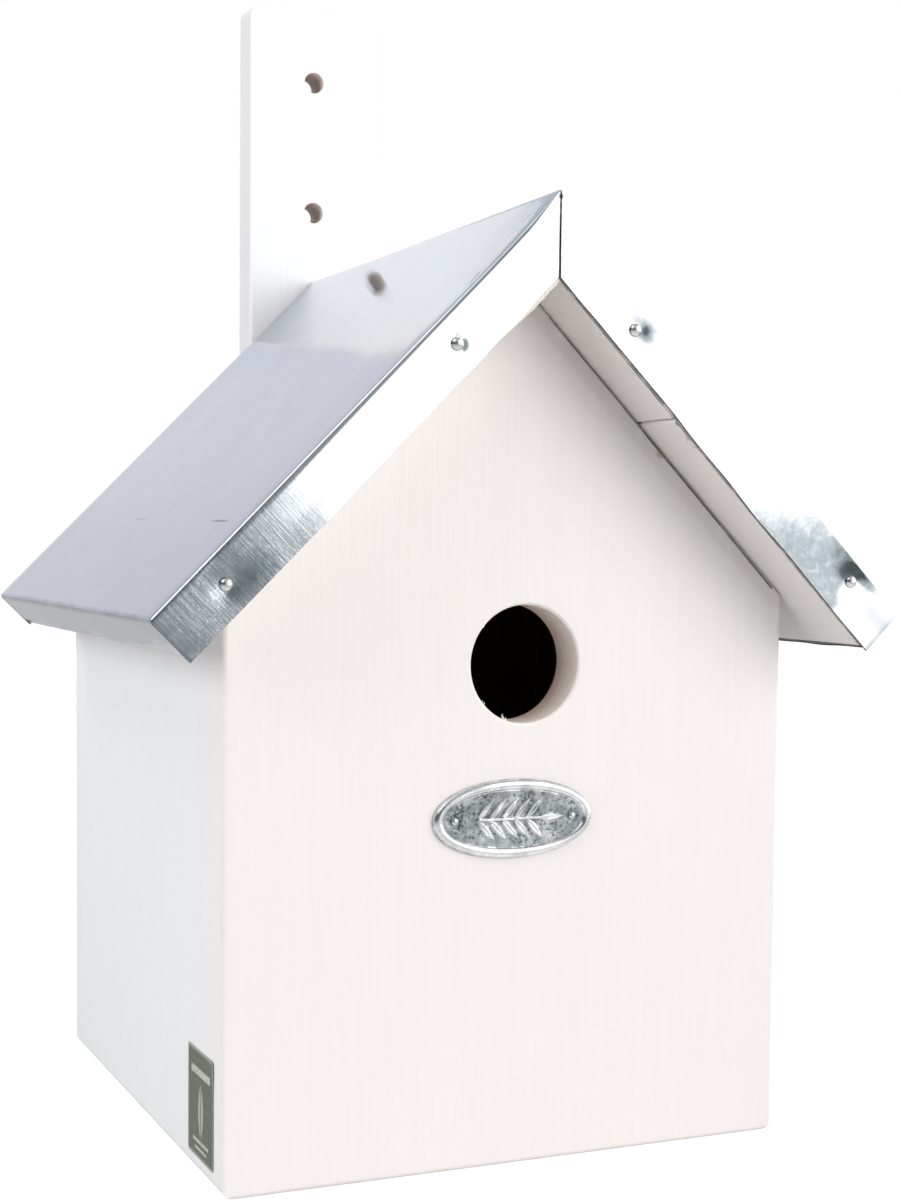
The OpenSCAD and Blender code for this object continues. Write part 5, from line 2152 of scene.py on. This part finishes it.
@dataclass
class Studio:
    """The pale floor, the soft light and the surroundings that the metal mirrors."""

    floor_colour: Colour = (0.61, 0.61, 0.61)
    floor_glow: float = 0.92
    floor_near: Colour = (0.68, 0.70, 0.72)
    floor_far: Colour = (0.588, 0.601, 0.618)
    lamps: tuple[SoftBox, ...] = (
        SoftBox("key_right", 35.0, 16.0, 2.6, 3.0, 2.2, 76.0, (1.0, 0.975, 0.955)),
        SoftBox("fill_left", -83.0, 20.0, 1.8, 1.2, 1.2, 21.2, (0.975, 0.98, 1.0)),
        SoftBox("strip_back_left", -140.0, 42.0, 1.6, 0.5, 0.5, 6.0),
        SoftBox("top", -12.0, 66.0, 1.7, 1.2, 1.2, 6.8),
    )
    ambient: Colour = (0.14, 0.14, 0.1435)
    before: Colour = (0.077, 0.083, 0.088)
    behind: Colour = (0.766, 0.777, 0.860)
    patches: tuple[Patch, ...] = (
        Patch(-26.0, 26.0, 52.0, 24.0, (0.44, 0.46, 0.48), 5.0),
        Patch(26.0, 26.0, 58.0, 18.0, (0.44, 0.46, 0.48), 5.0),
        Patch(9.0, 14.0, 10.0, 24.0, (0.35, 0.39, 0.41), 4.0),
        Patch(74.2, 56.7, 22.0, 28.0, (1.95, 1.95, 1.95), 1.2),
        Patch(-68.0, 26.0, 56.0, 22.0, (2.2, 2.2, 2.2), 3.0),
        Patch(0.0, 181.0, 90.0, 22.0, (0.73, 0.75, 0.77), 6.0),
    )
    reach: float = 3.0

    def build(self) -> None:
        """Makes the floor, the lamps and the world."""
        self._floor()
        self._world()
        for lamp in self.lamps:
            lamp.build()

    def _floor(self) -> None:
        """Makes the floor just under the box."""
        made, g, shader = new_material("studio_floor")
        shader.inputs["Roughness"].default_value = 0.9
        shader.inputs["Specular IOR Level"].default_value = 0.0
        g.feed(shader.inputs["Base Color"], self.floor_colour)
        g.feed(shader.inputs["Emission Color"], WHITE)
        seen = g.node("ShaderNodeLightPath").outputs["Is Camera Ray"]
        g.feed(shader.inputs["Emission Strength"], g.times(seen, self.floor_glow))
        size, z = self.reach, -0.05 * MM
        corners = np.array([(-size, -size, z), (size, -size, z), (size, size, z), (-size, size, z)])
        floor = make_object("studio_floor", corners, [(0, 1, 2, 3)], made)
        floor.visible_glossy = False

    def _world(self) -> None:
        """Sets the surroundings: white to the camera, and graded where the metal mirrors them."""
        world = bpy.data.worlds.new("studio")
        bpy.context.scene.world = world
        world.use_nodes = True
        g = Graph(world.node_tree)
        x, y, z = g.parts(g.node("ShaderNodeTexCoord").outputs["Generated"])
        azimuth = g.math("DEGREES", g.math("ARCTAN2", x, g.times(y, -1.0)))
        elevation = g.math("DEGREES", g.math("ARCSINE", z))
        mirrored = g.mix(g.span(y, -0.25, 0.5), self.before, self.behind)
        for patch in self.patches:
            mirrored = patch.paint(g, azimuth, elevation, mirrored)
        floor = g.mix(g.span(y, -0.3, 0.3), self.floor_near, self.floor_far)
        floor = g.mix(g.span(elevation, -45.0, -18.0, 1.0, 0.0), floor, WHITE)
        mirrored = g.mix(g.span(elevation, -8.0, -1.6, 1.0, 0.0), mirrored, floor)
        path = g.node("ShaderNodeLightPath")
        seen = g.mix(path.outputs["Is Glossy Ray"], self.ambient, mirrored)
        seen = g.mix(path.outputs["Is Camera Ray"], seen, WHITE)
        back = g.node("ShaderNodeBackground")
        g.feed(back.inputs["Color"], seen)
        back.inputs["Strength"].default_value = 1.0
        out = g.node("ShaderNodeOutputWorld")
        g.feed(out.inputs["Surface"], back.outputs[0])
        view = bpy.context.scene.view_settings
        view.view_transform = "Standard"
        view.look = "None"
        view.exposure = 0.0
        view.gamma = 1.0


@dataclass
class NestBox:
    """The whole box, built in order from its sub-assemblies."""

    nodes: dict[str, Piece]
    roof: Roof = Roof()

    def build(self) -> None:
        """Dresses the woodwork and builds the metalwork and the label."""
        self._wood()
        self._metal()
        SideLabel(GreenLabel("label_green").build()).build()

    def _wood(self) -> None:
        """Dresses every board."""
        work = Woodwork(self.nodes)
        work.dress("front_wall", self._front_paint())
        # painted shade: the sides and back get a slightly darker, cooler copy of the front's paint
        side_paint = PaintedWood("paint_sides", colour=(0.82, 0.825, 0.835)).build()
        for name in ("left_side_wall", "right_side_wall", "back_wall"):
            work.dress(name, side_paint)
        planks = self._plank_paint()
        for name in ("left_ridge_plank", "left_eave_plank", "right_ridge_plank", "right_eave_plank"):
            work.dress(name, planks)
        holes = tuple(
            Hole(0.0, z, 3.4 * MM, (0.92, 0.84, 0.78), (0.50, 0.395, 0.33), 82.6 * MM, 88 * MM)
            for z in BOARD_HOLE_Z
        )
        # painted light: the board's paint is a brighter copy of the walls' paint; its flank colour is
        # painted shade on its narrow sides
        board = PaintedWood(
            "paint_board", colour=(0.91, 0.925, 0.935), flank=(0.735, 0.725, 0.735), wear=0.0, holes=holes,
            middle=(0.0, 88.25 * MM, 182.6 * MM), half=(22.75 * MM, 6.25 * MM, 167.6 * MM),
        )
        work.dress("hanging_board", board.build())
        work.dress("floor_board", BareWood("bare_floor").build())

    def _front_paint(self) -> Material:
        """Makes the front wall's paint, with the entrance's wood, the gap under the right roof boards and a
        painted shadow along it.

        Returns:
            The material.
        """
        entrance = Hole(*ENTRANCE, 16.1 * MM, (0.97, 0.91, 0.86), (0.84, 0.70, 0.61), -81.5 * MM, -69 * MM)
        stains = (Stain((42.7 * MM, FRONT_WALL_Y, 194.0 * MM), 1.6 * MM, (0.35, 0.25, 0.17), 0.7),)
        gap = (0.085, 0.066, 0.056)
        seams = (
            # painted shadow: a broad soft darkening of the front under the right roof boards
            Seam((4.0 * MM, 233.3 * MM), (81.0 * MM, 155.4 * MM), 3.2 * MM, (0.62, 0.58, 0.56), 0.32),
            Seam((8.0 * MM, 229.3 * MM), (36.0 * MM, 201.0 * MM), 0.22 * MM, gap, 0.7),
            Seam((36.0 * MM, 201.0 * MM), (58.0 * MM, 178.8 * MM), 0.26 * MM, gap, 0.9),
            Seam((58.0 * MM, 178.8 * MM), (79.5 * MM, 156.9 * MM), 0.26 * MM, gap, 0.9),
        )
        return PaintedWood("paint_front", holes=(entrance,), stains=stains, seams=seams).build()

    def _plank_paint(self) -> Material:
        """Makes the roof boards' paint: chips by the flange, a raw arris, a dark joint line under the right
        flange, and painted shade behind the slit at the ridge and on the left eave's end.

        Returns:
            The material.
        """
        stains = (
            Stain((41.6 * MM, -101.5 * MM, 196.4 * MM), 3.4 * MM, (0.24, 0.18, 0.12), 0.95, speckled=True),
            Stain((43.5 * MM, -102.0 * MM, 194.5 * MM), 2.6 * MM, (0.80, 0.72, 0.58), 0.8, speckled=True),
            Stain((37.0 * MM, -99.8 * MM, 201.0 * MM), 0.7 * MM, (0.12, 0.09, 0.07), 0.8),
        )
        seams = (
            # painted shade: the board's end behind the slit at the ridge is dark
            Seam(
                (0.0, 259.0 * MM), (0.0, 238.5 * MM), 1.1 * MM, (0.10, 0.097, 0.093), 0.95,
                behind=-101.0 * MM,
            ),
            Seam(
                (0.0, 239.2 * MM), (-36.0 * MM, 203.2 * MM), 1.2 * MM, (0.80, 0.74, 0.63), 0.9,
                behind=-100.6 * MM,
            ),
            Seam(
                (0.5 * MM, 237.5 * MM), (97.0 * MM, 141.0 * MM), 0.45 * MM, (0.19, 0.185, 0.175), 0.90,
                behind=-99.9 * MM,
            ),
            # painted shade: a grey band on the left eave plank's end
            Seam((-103.0 * MM, 147.4 * MM), (-96.8 * MM, 141.2 * MM), 1.3 * MM, (0.62, 0.63, 0.66), 0.95),
        )
        return PaintedWood(
            "paint_planks", colour=(0.83, 0.805, 0.785), grain=Grain.BACKWARDS,
            stains=stains, seams=seams, half=(1.0, 1.0, 1.0),
        ).build()

    def _metal(self) -> None:
        """Builds the sheet, the plate and every fastener."""
        sheet = ZincSheet("zinc_sheet").build()
        steel = NailMetal("nail_steel").build()
        RoofSheet(sheet, CutEdge("sheet_cut_edge").build(), self.roof).build()
        OvalPlate(PressedPlate("plate_zinc").build()).build()
        RimSplinters(PaintedWood("paint_splinters", colour=(0.93, 0.90, 0.86)).build()).build()
        PaintRidge(PaintedWood("paint_lip", colour=(0.84, 0.80, 0.73), peel=3.0).build(), self.roof).build()
        tree = HeadTree()
        front = tuple(self.roof.place(d.side, d.s, self.roof.front_y + d.depth, d.t) for d in FRONT_DIMPLES)
        back = tuple(self.roof.place(d.side, d.s, self.roof.back_y - d.depth, d.t) for d in BACK_DIMPLES)
        nail = {
            "finish": steel, "radius": 1.75 * MM, "height": 1.3 * MM, "shank_r": 0.9 * MM,
            "shank_l": 18.5 * MM,
        }
        front_nodes = tuple(
            f"front_nail_{name}" for name in ("left_low", "left_high", "right_high", "right_low")
        )
        Fasteners("front_sheet_nails", front, Facing.FRONT, front_nodes, **nail).build(tree)
        Fasteners("back_nails", back, Facing.BACK, ("back_sheet_nails",), **nail).build(tree)
        pins = tuple((x * MM, -82.85 * MM, PLATE_Z) for x in (-18.9, 16.1))
        pin = {
            "finish": steel, "radius": 1.05 * MM, "height": 0.6 * MM, "shank_r": 0.5 * MM,
            "shank_l": 8.5 * MM,
        }
        pin_nodes = ("plate_pin_left", "plate_pin_right")
        Fasteners("plate_pins", pins, Facing.FRONT, pin_nodes, **pin).build(tree)
        work = Woodwork(self.nodes)
        for name in (
            "front_wall_brads", "back_wall_brads", "side_wall_brads", "roof_plank_nails",
            "hanging_board_screws",
        ):
            work.dress(name, steel)


def main() -> None:
    """Builds the camera, the studio and the box, and logs each piece as it is made."""
    logging.basicConfig(level=logging.INFO, format="%(name)s: %(message)s")
    PhotoCamera().build()
    Studio().build()
    NestBox(frame["nodes"]).build()


if __name__ == "__main__":
    main()
